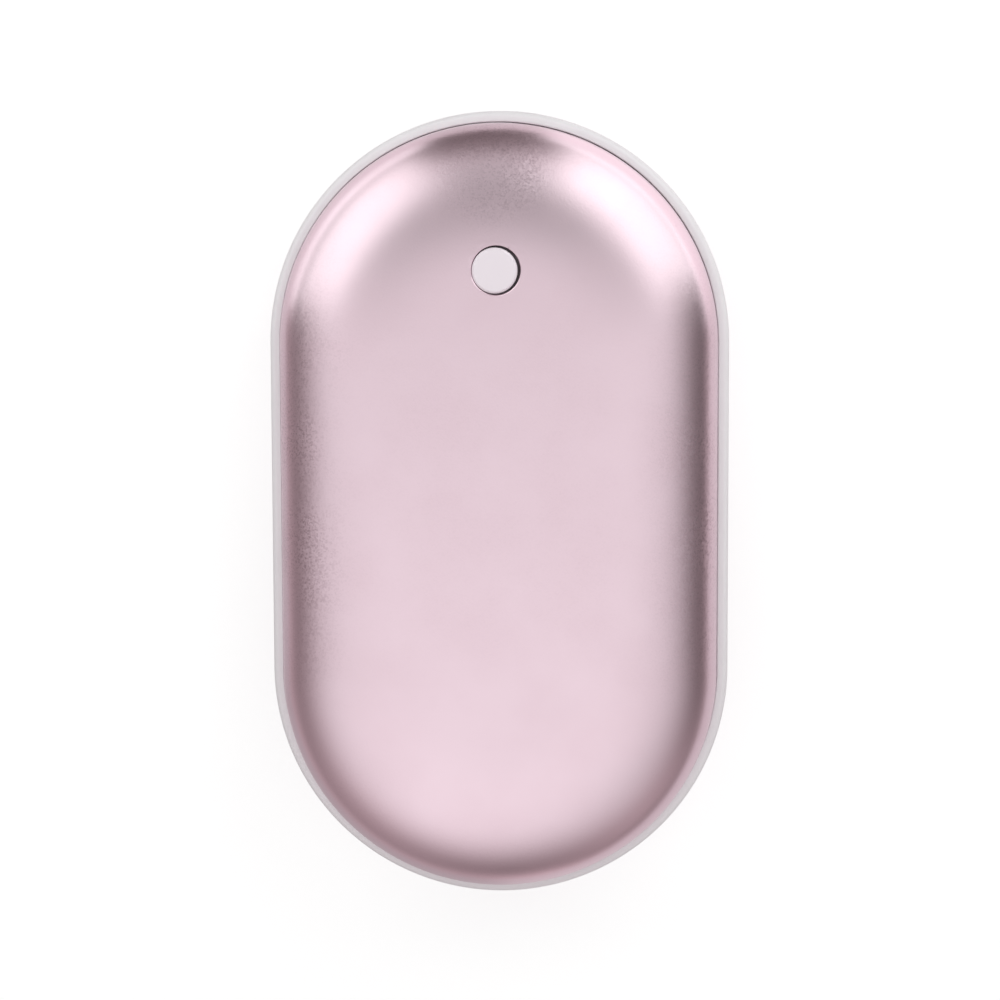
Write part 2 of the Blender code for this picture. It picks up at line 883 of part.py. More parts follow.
def make_board():
    board = prism("circuit_board", board_outline(), board_under, board_top, board_green)
    notch = usb_a_width / 2 + sink_gap
    cut = box(
        "socket_notch",
        (usb_a_x - notch, port_mouth - usb_a_depth - sink_gap, board_under - overrun),
        (usb_a_x + notch, half_length, board_top + overrun),
    )
    combine(board, cut)
    shape = bmesh.new()
    for x, y in post_places():
        add_cylinder(shape, x, y, board_under - overrun, board_top + overrun, screw_clearance, 16)
    combine(board, finish(shape, "board_holes"))


def chip(name, x, y, size, height, look=black_resin):
    low = board_top + bond_gap
    return box(
        name,
        (x - size[0] / 2, y - size[1] / 2, low),
        (x + size[0] / 2, y + size[1] / 2, low + height),
        look, small_bevel,
    )


def board_places():
    """Where each larger piece stands, from its neighbours and the gap between two pieces."""
    inductor_y = port_mouth - micro_depth - part_gap - inductor_side / 2
    capacitor_x = board_half_width - board_margin - capacitor_radius
    capacitor_y = post_y + screw_head_radius + part_gap + capacitor_radius
    notch = port_mouth - usb_a_depth - sink_gap
    return {
        "boost_inductor": (micro_x, inductor_y),
        "charger_capacitor": (capacitor_x, capacitor_y),
        "boost_capacitor": (capacitor_x, capacitor_y + 2 * capacitor_radius + part_gap),
        "charger_chip": (
            capacitor_x - capacitor_radius - part_gap - charger_size[0] / 2,
            inductor_y - inductor_side / 2 - part_gap - charger_size[1] / 2,
        ),
        "control_chip": (
            -led_offset - led_side / 2 - part_gap - control_size[0] / 2,
            notch - part_gap - control_size[1] / 2,
        ),
        "heater_transistor": (
            -port_half - sink_gap - part_gap - transistor_size[0] / 2,
            notch + part_gap + transistor_size[1] / 2,
        ),
    }


def make_board_pieces():
    for name, x in (("status_led_left", -led_offset), ("status_led_right", led_offset)):
        chip(name, x, button_y, (led_side, led_side), led_height, lens_white)

    sizes = {
        "charger_chip": charger_size,
        "control_chip": control_size,
        "heater_transistor": transistor_size,
    }
    places = board_places()
    for name, size in sizes.items():
        chip(name, *places[name], size, chip_height)

    x, y = places["boost_inductor"]
    half = inductor_side / 2
    low = board_top + bond_gap
    inductor = box(
        "boost_inductor", (x - half, y - half, low), (x + half, y + half, low + inductor_base),
        black_resin,
    )
    outline = []
    for step in range(8):
        turn = math.pi * (2 * step + 1) / 8
        reach = (half - small_bevel) / math.cos(math.pi / 8)
        outline.append((x + reach * math.cos(turn), y + reach * math.sin(turn)))
    core = prism("inductor_core", outline, low + inductor_base / 2, low + inductor_height)
    combine(inductor, core, "UNION")

    for name in ("charger_capacitor", "boost_capacitor"):
        x, y = places[name]
        top = low + capacitor_height
        profile = [
            (0.0, top),
            (capacitor_radius - capacitor_bevel, top),
            (capacitor_radius, top - capacitor_bevel),
            (capacitor_radius, low),
            (0.0, low),
        ]
        turned(name, profile, x, y, nickel, steps=16)


def make_usb_a():
    half, rise = usb_a_width / 2, usb_a_height / 2
    back = port_mouth - usb_a_depth
    case = box(
        "usb_a_shell", (usb_a_x - half, back, middle - rise), (usb_a_x + half, port_mouth, middle + rise),
        steel,
    )
    round_chosen(case, usb_a_corner, lambda run: abs(run.y) > usb_a_depth / 2)
    inside = box(
        "usb_a_cavity",
        (usb_a_x - half + usb_a_wall, back + usb_a_wall, middle - rise + usb_a_wall),
        (usb_a_x + half - usb_a_wall, port_mouth + overrun, middle + rise - usb_a_wall),
    )
    combine(case, inside)

    half_block = half - usb_a_wall - bond_gap
    rise_block = rise - usb_a_wall - bond_gap
    block_back = back + usb_a_wall + bond_gap
    tongue = box(
        "usb_a_tongue",
        (usb_a_x - half_block, block_back, middle - rise_block),
        (usb_a_x + half_block, block_back + usb_a_block_depth, middle + rise_block),
        white_abs,
    )
    half_blade = half - usb_a_wall - usb_a_tongue_side
    blade_top = middle + rise_block - usb_a_tongue_rise
    blade = box(
        "usb_a_blade",
        (usb_a_x - half_blade, block_back + usb_a_block_depth / 2, blade_top - usb_a_tongue_thickness),
        (usb_a_x + half_blade, port_mouth - usb_a_tongue_setback, blade_top),
    )
    combine(tongue, blade, "UNION")


def micro_outline(inset):
    """The micro socket's section, narrower at its foot."""
    top = board_top + bond_gap + micro_height - inset
    foot = board_top + bond_gap + inset
    half = micro_width / 2 - inset
    corner = (top - foot) / 2
    narrow = half - micro_taper
    return [
        (micro_x - narrow, foot), (micro_x + narrow, foot), (micro_x + half, foot + corner),
        (micro_x + half, top), (micro_x - half, top), (micro_x - half, foot + corner),
    ]


def make_micro():
    back = port_mouth - micro_depth
    case = prism("micro_usb_shell", micro_outline(0.0), back, port_mouth, steel, along="Y")
    cavity = prism(
        "micro_usb_cavity", micro_outline(micro_wall), back + micro_wall, port_mouth + overrun, along="Y",
    )
    combine(case, cavity)
    block_back = back + micro_wall + bond_gap
    block = prism(
        "micro_usb_tongue", micro_outline(micro_wall + bond_gap), block_back,
        block_back + micro_block_depth, black_resin, along="Y",
    )
    half = micro_tongue_width / 2
    height = board_top + bond_gap + micro_height / 2
    blade = box(
        "micro_usb_blade",
        (micro_x - half, block_back + micro_block_depth / 2, height),
        (micro_x + half, port_mouth - micro_tongue_setback, height + micro_tongue_thickness),
    )
    combine(block, blade, "UNION")


# Button and switch: both slide straight in, along -Z

def make_switch():
    low = board_top + bond_gap
    top = low + switch_body_height
    half = switch_side / 2
    body = box(
        "switch_body", (-half, button_y - half, low), (half, button_y + half, top), black_resin,
        small_bevel,
    )
    floor = top - switch_seat - button_travel - seat_gap
    well = cylinder(
        "plunger_well", 0.0, button_y, floor, top + overrun, plunger_radius + plunger_gap, sides=24,
    )
    combine(body, well)
    cylinder("switch_plunger", 0.0, button_y, top - switch_seat, switch_top, plunger_radius, white_abs)


def make_button():
    top = 2 * middle + button_proud
    flange_top = 2 * middle - shell_wall - seat_gap
    flange_low = flange_top - button_flange_thickness
    collar_low = flange_low - stem_collar
    profile = [
        (0.0, top),
        (button_radius - button_bevel, top),
        (button_radius - button_bevel * bevel_share, top - button_bevel * bevel_share),
        (button_radius, top - button_bevel),
        (button_radius, flange_top),
        (button_flange_radius, flange_top),
        (button_flange_radius, flange_low),
        (stem_radius, flange_low),
        (stem_radius, collar_low),
        (0.0, collar_low),
    ]
    cap = turned("button_cap", profile, 0.0, button_y, white_abs, steps=32)
    foot = switch_top + press_gap
    reach = stem_radius - stem_relief
    outline = [
        (reach, -stem_blade / 2), (reach, stem_blade / 2), (stem_blade / 2, stem_blade / 2),
        (stem_blade / 2, reach), (-stem_blade / 2, reach), (-stem_blade / 2, stem_blade / 2),
        (-reach, stem_blade / 2), (-reach, -stem_blade / 2), (-stem_blade / 2, -stem_blade / 2),
        (-stem_blade / 2, -reach), (stem_blade / 2, -reach), (stem_blade / 2, -stem_blade / 2),
    ]
    placed = [(x, button_y + y) for x, y in outline]
    stem = prism("button_stem", placed, foot, flange_low - stem_collar / 2)
    combine(cap, stem, "UNION")


# Screws

def screw(name, x, y, seat):
    edge = screw_head_height / 2
    tip = seat - screw_length
    profile = [
        (0.0, seat + screw_head_height),
        (screw_head_radius * head_flat_share, seat + screw_head_height),
        (screw_head_radius, seat + edge),
        (screw_head_radius, seat),
        (screw_shank_radius, seat),
        (screw_shank_radius, tip + screw_shank_radius),
        (0.0, tip),
    ]
    turned(name, profile, x, y, steel, steps=12)


def make_screws():
    cover_seat = front_ledge + seat_gap + well_floor + bond_gap
    for number, (x, y) in enumerate(boss_places(), start=1):
        screw("cover_screw_" + str(number), x, y, cover_seat)
    for name, (x, y) in zip(("board_screw_left", "board_screw_right"), post_places()):
        screw(name, x, y, board_top + bond_gap)


# Leads: round wires on a smooth curve through chosen points

def smooth_route(points):
    """Points of a Catmull-Rom curve through the chosen ones."""
    chosen = [Vector(point) for point in points]
    ends = [2 * chosen[0] - chosen[1]] + chosen + [2 * chosen[-1] - chosen[-2]]
    route = []
    for before, here, after, later in zip(ends, ends[1:], ends[2:], ends[3:]):
        for step in range(lead_steps):
            t = step / lead_steps
            slope_in = (after - before) / 2
            slope_out = (later - here) / 2
            route.append(
                here * (2 * t ** 3 - 3 * t ** 2 + 1)
                + slope_in * (t ** 3 - 2 * t ** 2 + t)
                + after * (3 * t ** 2 - 2 * t ** 3)
                + slope_out * (t ** 3 - t ** 2)
            )
    route.append(chosen[-1])
    return route


def lead(name, points, radius, look):
    curve = bpy.data.curves.new(name, "CURVE")
    curve.dimensions = "3D"
    curve.bevel_depth = radius
    curve.bevel_resolution = 1
    curve.use_fill_caps = True
    spline = curve.splines.new("POLY")
    route = smooth_route(points)
    spline.points.add(len(route) - 1)
    for place, point in zip(spline.points, route):
        place.co = (*point, 1.0)
    link(name, curve, look)


def make_leads():
    wire = cell_lead_radius
    pad_top = board_top + seat_gap
    pad_x = post_x - screw_head_radius - 2 * wire - seat_gap
    reach = cell_radius + seat_gap + wire
    valley = middle + math.sqrt(reach ** 2 - cell_x ** 2)
    over = middle + strap_half_height + 2 * wire
    outer = cell_low - bond_gap - strap_thickness - seat_gap - wire
    first_share, second_share, across_share = lead_turn_shares
    lead(
        "battery_lead_negative",
        [
            (0.0, outer, middle),
            (0.0, outer, middle + strap_half_height),
            (0.0, cell_low - strap_thickness, over),
            (0.0, cell_low + 5 * wire, valley),
            (0.0, cell_low + cell_length * first_share, valley),
            (0.0, cell_low + cell_length * second_share, valley),
            (0.0, cell_high - 5 * wire, valley),
            (0.0, cell_high + strap_thickness, over),
            (-pad_x * across_share, cell_high + 3 * wire, over),
            (-pad_x, post_y, pad_top + 5 * wire),
            (-pad_x, post_y, pad_top),
        ],
        wire, black_insulation,
    )
    strap_face = cell_high + bond_gap + strap_thickness + seat_gap + wire
    lead(
        "battery_lead_positive",
        [
            (cell_x, strap_face, middle),
            (cell_x, strap_face, middle + strap_half_height),
            (pad_x, post_y - wire, middle + strap_half_height + wire),
            (pad_x, post_y, pad_top + 4 * wire),
            (pad_x, post_y, pad_top),
        ],
        wire, red_insulation,
    )

    wire = film_lead_radius
    straight, centre = film_places()
    film_end = centre + straight + film_half_width
    under_film = 2 * middle - shell_wall - bond_gap - film_thickness - bond_gap - wire
    over_film = shell_wall + bond_gap + film_thickness + bond_gap + wire
    drop_y = board_low + 2 * wire
    for number in (1, 2):
        x = film_lead_side + (number - 1) * film_lead_spacing
        land_x = switch_side / 2 + 2 * wire + (number - 1) * film_lead_spacing
        look = red_insulation if number == 1 else black_insulation
        lead(
            "front_heater_lead_" + str(number),
            [
                (x, film_end - film_tail * solder_share, under_film),
                (x, film_end + wire, under_film - wire),
                (x, slot_front, roof_high),
                (x, slot_front + wire, roof_low - 2 * wire),
                (land_x, drop_y - wire, middle + strap_half_height + 2 * wire),
                (land_x, drop_y, board_top + 4 * wire),
                (land_x, drop_y, board_top + seat_gap),
            ],
            wire, look,
        )
        lead(
            "rear_heater_lead_" + str(number),
            [
                (x, film_end - film_tail * solder_share, over_film),
                (x, film_end + wire, over_film),
                (x, slot_rear - 3 * wire, over_film + wire),
                (x, slot_rear, floor_high),
                (x, slot_rear, (floor_high + board_under) / 2),
                (x, slot_rear, board_under - seat_gap),
            ],
            wire, look,
        )


make_shells()
make_frame()
make_cover()
make_cells()
make_straps()
make_pads()
make_thermistor()
make_board()
make_board_pieces()
make_usb_a()
make_micro()
make_switch()
make_button()
make_screws()
make_leads()
print("body", half_width * 2, half_length * 2, body_height, "button", button_y)
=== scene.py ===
import json
import math

import bpy
from mathutils import Matrix, Vector


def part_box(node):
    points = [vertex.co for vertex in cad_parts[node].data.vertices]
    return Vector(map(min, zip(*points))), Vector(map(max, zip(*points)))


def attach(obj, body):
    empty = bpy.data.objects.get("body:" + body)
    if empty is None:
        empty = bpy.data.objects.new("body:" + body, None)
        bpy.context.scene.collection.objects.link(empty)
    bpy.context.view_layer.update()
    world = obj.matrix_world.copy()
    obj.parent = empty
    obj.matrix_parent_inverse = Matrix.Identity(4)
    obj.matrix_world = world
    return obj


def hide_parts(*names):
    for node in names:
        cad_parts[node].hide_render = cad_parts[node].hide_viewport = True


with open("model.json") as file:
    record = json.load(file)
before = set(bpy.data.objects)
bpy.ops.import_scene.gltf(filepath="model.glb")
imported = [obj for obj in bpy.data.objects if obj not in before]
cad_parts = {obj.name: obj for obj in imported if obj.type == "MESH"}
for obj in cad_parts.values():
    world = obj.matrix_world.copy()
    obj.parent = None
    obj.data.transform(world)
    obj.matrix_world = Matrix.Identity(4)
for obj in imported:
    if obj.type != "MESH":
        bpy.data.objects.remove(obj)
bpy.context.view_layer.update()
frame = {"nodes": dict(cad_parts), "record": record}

# Looks of a rechargeable hand warmer: two rose anodised shells on a white moulded frame.
# Metres, +Z out of the front face, +Y towards the end with the button and the sockets.

nodes = frame["nodes"]
print("frame loaded:", len(nodes), "nodes")

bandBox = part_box("mid_frame")
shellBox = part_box("front_shell")
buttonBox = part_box("button_cap")
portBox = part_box("usb_a_shell")
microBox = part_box("micro_usb_shell")

outline = {
    "ringPoints": 288,
    "halfWidth": bandBox[1].x,
    "shellHalf": shellBox[1].x,
    "halfStraight": shellBox[1].y - shellBox[1].x,
    "bandHigh": bandBox[1].z,
    "middle": shellBox[1].z / 2,
    "crown": shellBox[1].z,
    "weld": 0.000002,
    "buttonY": (buttonBox[0].y + buttonBox[1].y) / 2,
    "buttonRadius": 0.0029,
    "bevelDegrees": 40,     # an edge is rounded from this angle on
}
outline["bandLow"] = 2 * outline["middle"] - outline["bandHigh"]


# Selecting and shaping

def deselectAll():
    if bpy.context.mode != "OBJECT":
        bpy.ops.object.mode_set(mode="OBJECT")
    bpy.ops.object.select_all(action="DESELECT")


def takeUp(piece):
    deselectAll()
    piece.select_set(True)
    bpy.context.view_layer.objects.active = piece


def chooseVertices(piece, wanted):
    # picked by their place, for the next operator in edit mode
    bpy.context.tool_settings.mesh_select_mode = (True, False, False)
    for face in piece.data.polygons:
        face.select = False
    for edge in piece.data.edges:
        edge.select = False
    for vertex in piece.data.vertices:
        vertex.select = wanted(vertex.co)


def shiftVertices(piece, wanted, shift):
    chooseVertices(piece, wanted)
    takeUp(piece)
    bpy.ops.object.mode_set(mode="EDIT")
    bpy.ops.transform.translate(value=shift)
    bpy.ops.object.mode_set(mode="OBJECT")


def startRing(name, half, height, points, centre=(0.0, 0.0), capped=True):
    deselectAll()
    bpy.ops.mesh.primitive_circle_add(
        vertices=points, radius=half, fill_type="NGON" if capped else "NOTHING",
        location=(centre[0], centre[1], height), rotation=(0, 0, math.pi / points),
    )
    piece = bpy.context.active_object
    piece.name = name
    piece.data.name = name
    bpy.ops.object.transform_apply(location=True, rotation=True, scale=True)
    return piece


def growRings(piece, rings, centre=(0.0, 0.0)):
    # extrude and scale ring by ring, from the one that the piece starts with
    takeUp(piece)
    bpy.ops.object.mode_set(mode="EDIT")
    bpy.ops.mesh.select_all(action="SELECT")
    for (half, height), (nextHalf, nextHeight) in zip(rings, rings[1:]):
        bpy.ops.mesh.extrude_region_move(
            TRANSFORM_OT_translate={"value": (0, 0, nextHeight - height)},
        )
        share = nextHalf / half
        bpy.ops.transform.resize(
            value=(share, share, 1), center_override=(centre[0], centre[1], nextHeight),
        )
    bpy.ops.object.mode_set(mode="OBJECT")


def spreadHalves(piece):
    # the round turning becomes a stadium: each half moves out to its end
    for side in (1, -1):
        shiftVertices(piece, lambda co: co.y * side > 0, (0, side * outline["halfStraight"], 0))


def closeUp(piece, smoothDegrees=30):
    takeUp(piece)
    bpy.ops.object.mode_set(mode="EDIT")
    bpy.ops.mesh.select_all(action="SELECT")
    bpy.ops.mesh.remove_doubles(threshold=outline["weld"])
    bpy.ops.mesh.normals_make_consistent(inside=False)
    bpy.ops.object.mode_set(mode="OBJECT")
    bpy.ops.object.shade_smooth_by_angle(angle=math.radians(smoothDegrees))
    applyModifier(piece, "WEIGHTED_NORMAL", keep_sharp=True, weight=50)
    return piece


def turned(name, rings, points=96, centre=(0.0, 0.0), capped=True):
    piece = startRing(name, rings[0][0], rings[0][1], points, centre, capped)
    growRings(piece, rings, centre)
    return closeUp(piece)


def stadiumTurned(name, rings, capped=True):
    piece = startRing(name, rings[0][0], rings[0][1], outline["ringPoints"], capped=capped)
    growRings(piece, rings)
    spreadHalves(piece)
    return closeUp(piece)


def block(name, low, high, rounding=0.0, steps=3):
    deselectAll()
    low, high = Vector(low), Vector(high)
    bpy.ops.mesh.primitive_cube_add(size=1, location=(low + high) / 2)
    piece = bpy.context.active_object
    piece.name = name
    piece.data.name = name
    piece.scale = high - low
    bpy.ops.object.transform_apply(location=True, rotation=True, scale=True)
    if rounding:
        roundEdges(piece, rounding, steps)
    return piece


def applyModifier(piece, kind, **settings):
    takeUp(piece)
    modifier = piece.modifiers.new(kind.lower(), kind)
    for key, value in settings.items():
        setattr(modifier, key, value)
    bpy.ops.object.modifier_apply(modifier=modifier.name)


def roundEdges(piece, width, steps=3):
    applyModifier(
        piece, "BEVEL", width=width, segments=steps, limit_method="ANGLE",
        angle_limit=math.radians(outline["bevelDegrees"]),
    )


def combine(piece, tool, operation="DIFFERENCE"):
    applyModifier(piece, "BOOLEAN", operation=operation, object=tool, solver="EXACT")
    bpy.data.objects.remove(tool)


def joinAll(name, pieces):
    deselectAll()
    for piece in pieces:
        piece.select_set(True)
    bpy.context.view_layer.objects.active = pieces[0]
    if len(pieces) > 1:
        bpy.ops.object.join()
    pieces[0].name = name
    pieces[0].data.name = name
    return pieces[0]


# Materials

def linearColour(code):
    made = []
    for start in (1, 3, 5):
        channel = int(code[start:start + 2], 16) / 255
        if channel <= 0.04045:
            made.append(channel / 12.92)
        else:
            made.append(((channel + 0.055) / 1.055) ** 2.4)
    return (*made, 1.0)


def addNode(tree, kind, settings=None, values=None, links=None):
    node = tree.nodes.new(kind)
    for key, value in (settings or {}).items():
        setattr(node, key, value)
    for socket, value in (values or {}).items():
        node.inputs[socket].default_value = value
    for socket, source in (links or {}).items():
        tree.links.new(source, node.inputs[socket])
    return node


def levelRamp(tree, factor, stops):
    # a ramp's colours stay under 1, so the levels are halved in it and doubled after it
    ramp = addNode(tree, "ShaderNodeValToRGB", links={"Fac": factor})
    elements = ramp.color_ramp.elements
    ramp.color_ramp.interpolation = "EASE"
    while len(elements) > 1:
        elements.remove(elements[-1])
    elements[0].position = stops[0][0]
    for position, _ in stops[1:]:
        elements.new(position)
    for element, (_, level) in zip(elements, stops):
        element.color = (level / 2, level / 2, level / 2, 1)
    return addNode(
        tree, "ShaderNodeMath", {"operation": "MULTIPLY"}, {1: 2.0},
        {0: ramp.outputs["Color"]},
    ).outputs[0]


def facetPattern(tree, finish, place, broad):
    # small facets, each with its own random colour, and how strongly they show at each place
    parts = addNode(tree, "ShaderNodeSeparateXYZ", links={"Vector": place}).outputs
    height = addNode(
        tree, "ShaderNodeMath", {"operation": "SUBTRACT"}, {1: outline["middle"]}, {0: parts["Z"]},
    ).outputs[0]
    height = addNode(
        tree, "ShaderNodeMath", {"operation": "ABSOLUTE"}, links={0: height},
    ).outputs[0]
    along = addNode(
        tree, "ShaderNodeMapRange",
        values={"From Min": -bandBox[1].y, "From Max": bandBox[1].y, "To Min": 0.0, "To Max": 1.0},
        links={"Value": parts["Y"]},
    ).outputs["Result"]
    share = levelRamp(tree, along, finish["alongLevels"])
    for value, (low, high, atLow, atHigh) in (
        (height, finish["sideHeights"]), (broad, finish["patches"]),
    ):
        factor = addNode(
            tree, "ShaderNodeMapRange",
            values={"From Min": low, "From Max": high, "To Min": atLow, "To Max": atHigh},
            links={"Value": value},
        ).outputs["Result"]
        share = addNode(
            tree, "ShaderNodeMath", {"operation": "MULTIPLY"}, links={0: share, 1: factor},
        ).outputs[0]
    # and a spot by the upper end, where they show up to the edge of the flat
    spot = finish["spot"]
    above = addNode(
        tree, "ShaderNodeVectorMath", {"operation": "MULTIPLY"}, {1: (1.0, 1.0, 0.0)}, {0: place},
    ).outputs[0]
    away = addNode(
        tree, "ShaderNodeVectorMath", {"operation": "DISTANCE"}, {1: (*spot["middle"], 0.0)},
        {0: above},
    ).outputs["Value"]
    near = addNode(
        tree, "ShaderNodeMapRange",
        values={
            "From Min": spot["full"], "From Max": spot["end"], "To Min": spot["level"],
            "To Max": 0.0,
        },
        links={"Value": away},
    ).outputs["Result"]
    share = addNode(
        tree, "ShaderNodeMath", {"operation": "MAXIMUM"}, links={0: share, 1: near},
    ).outputs[0]
    facets = addNode(
        tree, "ShaderNodeTexVoronoi", values={"Scale": 1 / finish["facet"]},
        links={"Vector": place},
    ).outputs["Color"]
    return facets, share


def leaning(tree, normal, facets, share, lean):
    # each facet mirrors a slightly different part of the room
    scale = addNode(
        tree, "ShaderNodeMath", {"operation": "MULTIPLY"}, {1: lean}, {0: share},
    ).outputs[0]
    tilt = addNode(
        tree, "ShaderNodeVectorMath", {"operation": "SUBTRACT"}, {1: (0.5, 0.5, 0.5)}, {0: facets},
    ).outputs[0]
    tilt = addNode(
        tree, "ShaderNodeVectorMath", {"operation": "SCALE"}, links={0: tilt, "Scale": scale},
    ).outputs[0]
    leant = addNode(
        tree, "ShaderNodeVectorMath", {"operation": "ADD"}, links={0: normal, 1: tilt},
    ).outputs[0]
    return addNode(
        tree, "ShaderNodeVectorMath", {"operation": "NORMALIZE"}, links={0: leant},
    ).outputs[0]


def paintPitShade(tree, colour, facets, share, finish):
    # painted shade in the deepest pits of the blast: a dark colour mixed in, which looks like dark
    # pin-pricks
    chance = addNode(tree, "ShaderNodeSeparateXYZ", links={"Vector": facets}).outputs["X"]
    pitShadeMix = addNode(
        tree, "ShaderNodeMapRange",
        values={
            "From Min": 0.0, "From Max": finish["pitChance"], "To Min": finish["pitShadeStrength"],
            "To Max": 0.0,
        },
        links={"Value": chance},
    ).outputs["Result"]
    pitShadeMix = addNode(
        tree, "ShaderNodeMath", {"operation": "MULTIPLY"}, links={0: pitShadeMix, 1: share},
    ).outputs[0]
    return addNode(
        tree, "ShaderNodeMix", {"data_type": "RGBA"}, {"B": linearColour(finish["pitShadeColour"])},
        {"Factor": pitShadeMix, "A": colour},
    ).outputs["Result"]


noise = {
    "broadDetail": 3.0, "broadRoughness": 0.55, "grainDetail": 2.0, "grainRoughness": 0.6,
    "colourSpan": (0.35, 0.7),  # the part of the broad noise that the colour follows
    "roughSpan": (0.3, 0.7),    # and the roughness
}


def surface(name, finish):
    # one finish: a base colour with soft variation, roughness with variation, and fine bumps
    made = bpy.data.materials.new(name)
    made.use_nodes = True
    tree = made.node_tree
    tree.nodes.clear()
    place = addNode(tree, "ShaderNodeTexCoord").outputs["Object"]
    broad = addNode(
        tree, "ShaderNodeTexNoise",
        values={
            "Scale": 1 / finish["patch"], "Detail": noise["broadDetail"],
            "Roughness": noise["broadRoughness"],
        },
        links={"Vector": place},
    ).outputs["Fac"]
    grain = addNode(
        tree, "ShaderNodeTexNoise",
        values={
            "Scale": 1 / finish["grain"], "Detail": finish.get("detail", noise["grainDetail"]),
            "Roughness": noise["grainRoughness"],
        },
        links={"Vector": place},
    ).outputs["Fac"]
    low, high = noise["colourSpan"]
    factor = addNode(
        tree, "ShaderNodeMapRange",
        values={"From Min": low, "From Max": high, "To Min": 0.0, "To Max": finish["patchiness"]},
        links={"Value": broad},
    ).outputs["Result"]
    colour = addNode(
        tree, "ShaderNodeMix", {"data_type": "RGBA"},
        {"A": linearColour(finish["colour"]), "B": linearColour(finish["shade"])},
        {"Factor": factor},
    ).outputs["Result"]
    low, high = noise["roughSpan"]
    rough = addNode(
        tree, "ShaderNodeMapRange",
        values={
            "From Min": low, "From Max": high,
            "To Min": finish["roughness"] - finish["roughSpread"],
            "To Max": finish["roughness"] + finish["roughSpread"],
        },
        links={"Value": broad},
    ).outputs["Result"]
    bump = addNode(
        tree, "ShaderNodeBump",
        values={"Strength": finish["bumpStrength"], "Distance": finish["bumpDepth"]},
        links={"Height": grain},
    ).outputs["Normal"]
    if "facet" in finish:
        facets, share = facetPattern(tree, finish, place, broad)
        bump = leaning(tree, bump, facets, share, finish["facetLean"])
        # painted shade: dark specks mixed into the colour in the blast's pits
        colour = paintPitShade(tree, colour, facets, share, finish)
    shader = addNode(
        tree, "ShaderNodeBsdfPrincipled",
        values={"Metallic": finish.get("metallic", 0.0), **finish.get("more", {})},
        links={"Base Color": colour, "Roughness": rough, "Normal": bump},
    )
    addNode(tree, "ShaderNodeOutputMaterial", links={"Surface": shader.outputs["BSDF"]})
    return made


# Aluminium, bead-blasted then anodised rose: a satin metal with a very fine sparkle.
# The blast's own grit is about 0.08 mm; it is drawn at 0.21 mm, so that a pixel can hold it.
roseAluminium = surface("roseAnodisedAluminium", {
    "colour": "#EDD5DF", "shade": "#E9CFD9", "patch": 0.012, "patchiness": 0.5,
    "grain": 0.00026, "detail": 0.0, "roughness": 0.3, "roughSpread": 0.02,
    "bumpStrength": 1.0, "bumpDepth": 0.000004, "metallic": 1.0,
    # the pits' dark colour is painted shade
    "facet": 0.00021, "facetLean": 0.11, "pitShadeColour": "#6A505B", "pitShadeStrength": 0.28, "pitChance": 0.5,
    # where the facets show: from one height or noise value to another, and the share at each
    "sideHeights": (0.0106, 0.013, 1.0, 0.1), "patches": (0.36, 0.64, 0.35, 1.0),
    # from the lower end, 0, to the upper end, 1: the level at each share of the length
    "alongLevels": ((0.22, 0.15), (0.42, 1.0), (0.68, 1.0), (0.77, 0.25), (0.92, 0.1)),
    "spot": {"middle": (-0.0006, 0.0435), "full": 0.005, "end": 0.0085, "level": 0.6},
    "more": {"Coat Weight": 0.12, "Coat Roughness": 0.22},
})

# The hole's wall is rough metal; its colour, much darker than the face, is painted shade for the
# deep gap round the cap
holeWallShade = surface("holeWallPaintedShade", {
    "colour": "#B79CA6", "shade": "#A38892", "patch": 0.0006, "patchiness": 0.8,
    "grain": 0.0001, "roughness": 0.6, "roughSpread": 0.1, "bumpStrength": 0.5,
    "bumpDepth": 0.00003, "metallic": 1.0,
})

# ABS from a spark-eroded mould: even, satin, a cool white
whiteAbs = surface("mouldedWhiteAbs", {
    "colour": "#F6F2F5", "shade": "#F2EEF1", "patch": 0.01, "patchiness": 0.4,
    "grain": 0.0003, "roughness": 0.42, "roughSpread": 0.03, "bumpStrength": 0.12,
    "bumpDepth": 0.00002, "more": {"IOR": 1.53},
})

# The same ABS from a polished mould, smoother to the finger
buttonAbs = surface("polishedWhiteAbs", {
    "colour": "#F9EFF6", "shade": "#F5EBF2", "patch": 0.006, "patchiness": 0.4,
    "grain": 0.0004, "roughness": 0.24, "roughSpread": 0.02, "bumpStrength": 0.05,
    "bumpDepth": 0.00001, "more": {"IOR": 1.53, "Coat Weight": 0.7, "Coat Roughness": 0.08},
})

# Painted shade for what the gaps hide: the cap's flank and flange and the seam's wall, a matt
# grey-pink darker than the white ABS
gapShadeAbs = surface("paintedGapShadeAbs", {
    "colour": "#C4B8BE", "shade": "#AFA3A9", "patch": 0.0008, "patchiness": 0.8,
    "grain": 0.0002, "roughness": 0.8, "roughSpread": 0.1, "bumpStrength": 0.3,
    "bumpDepth": 0.00003, "more": {"IOR": 1.53},
})

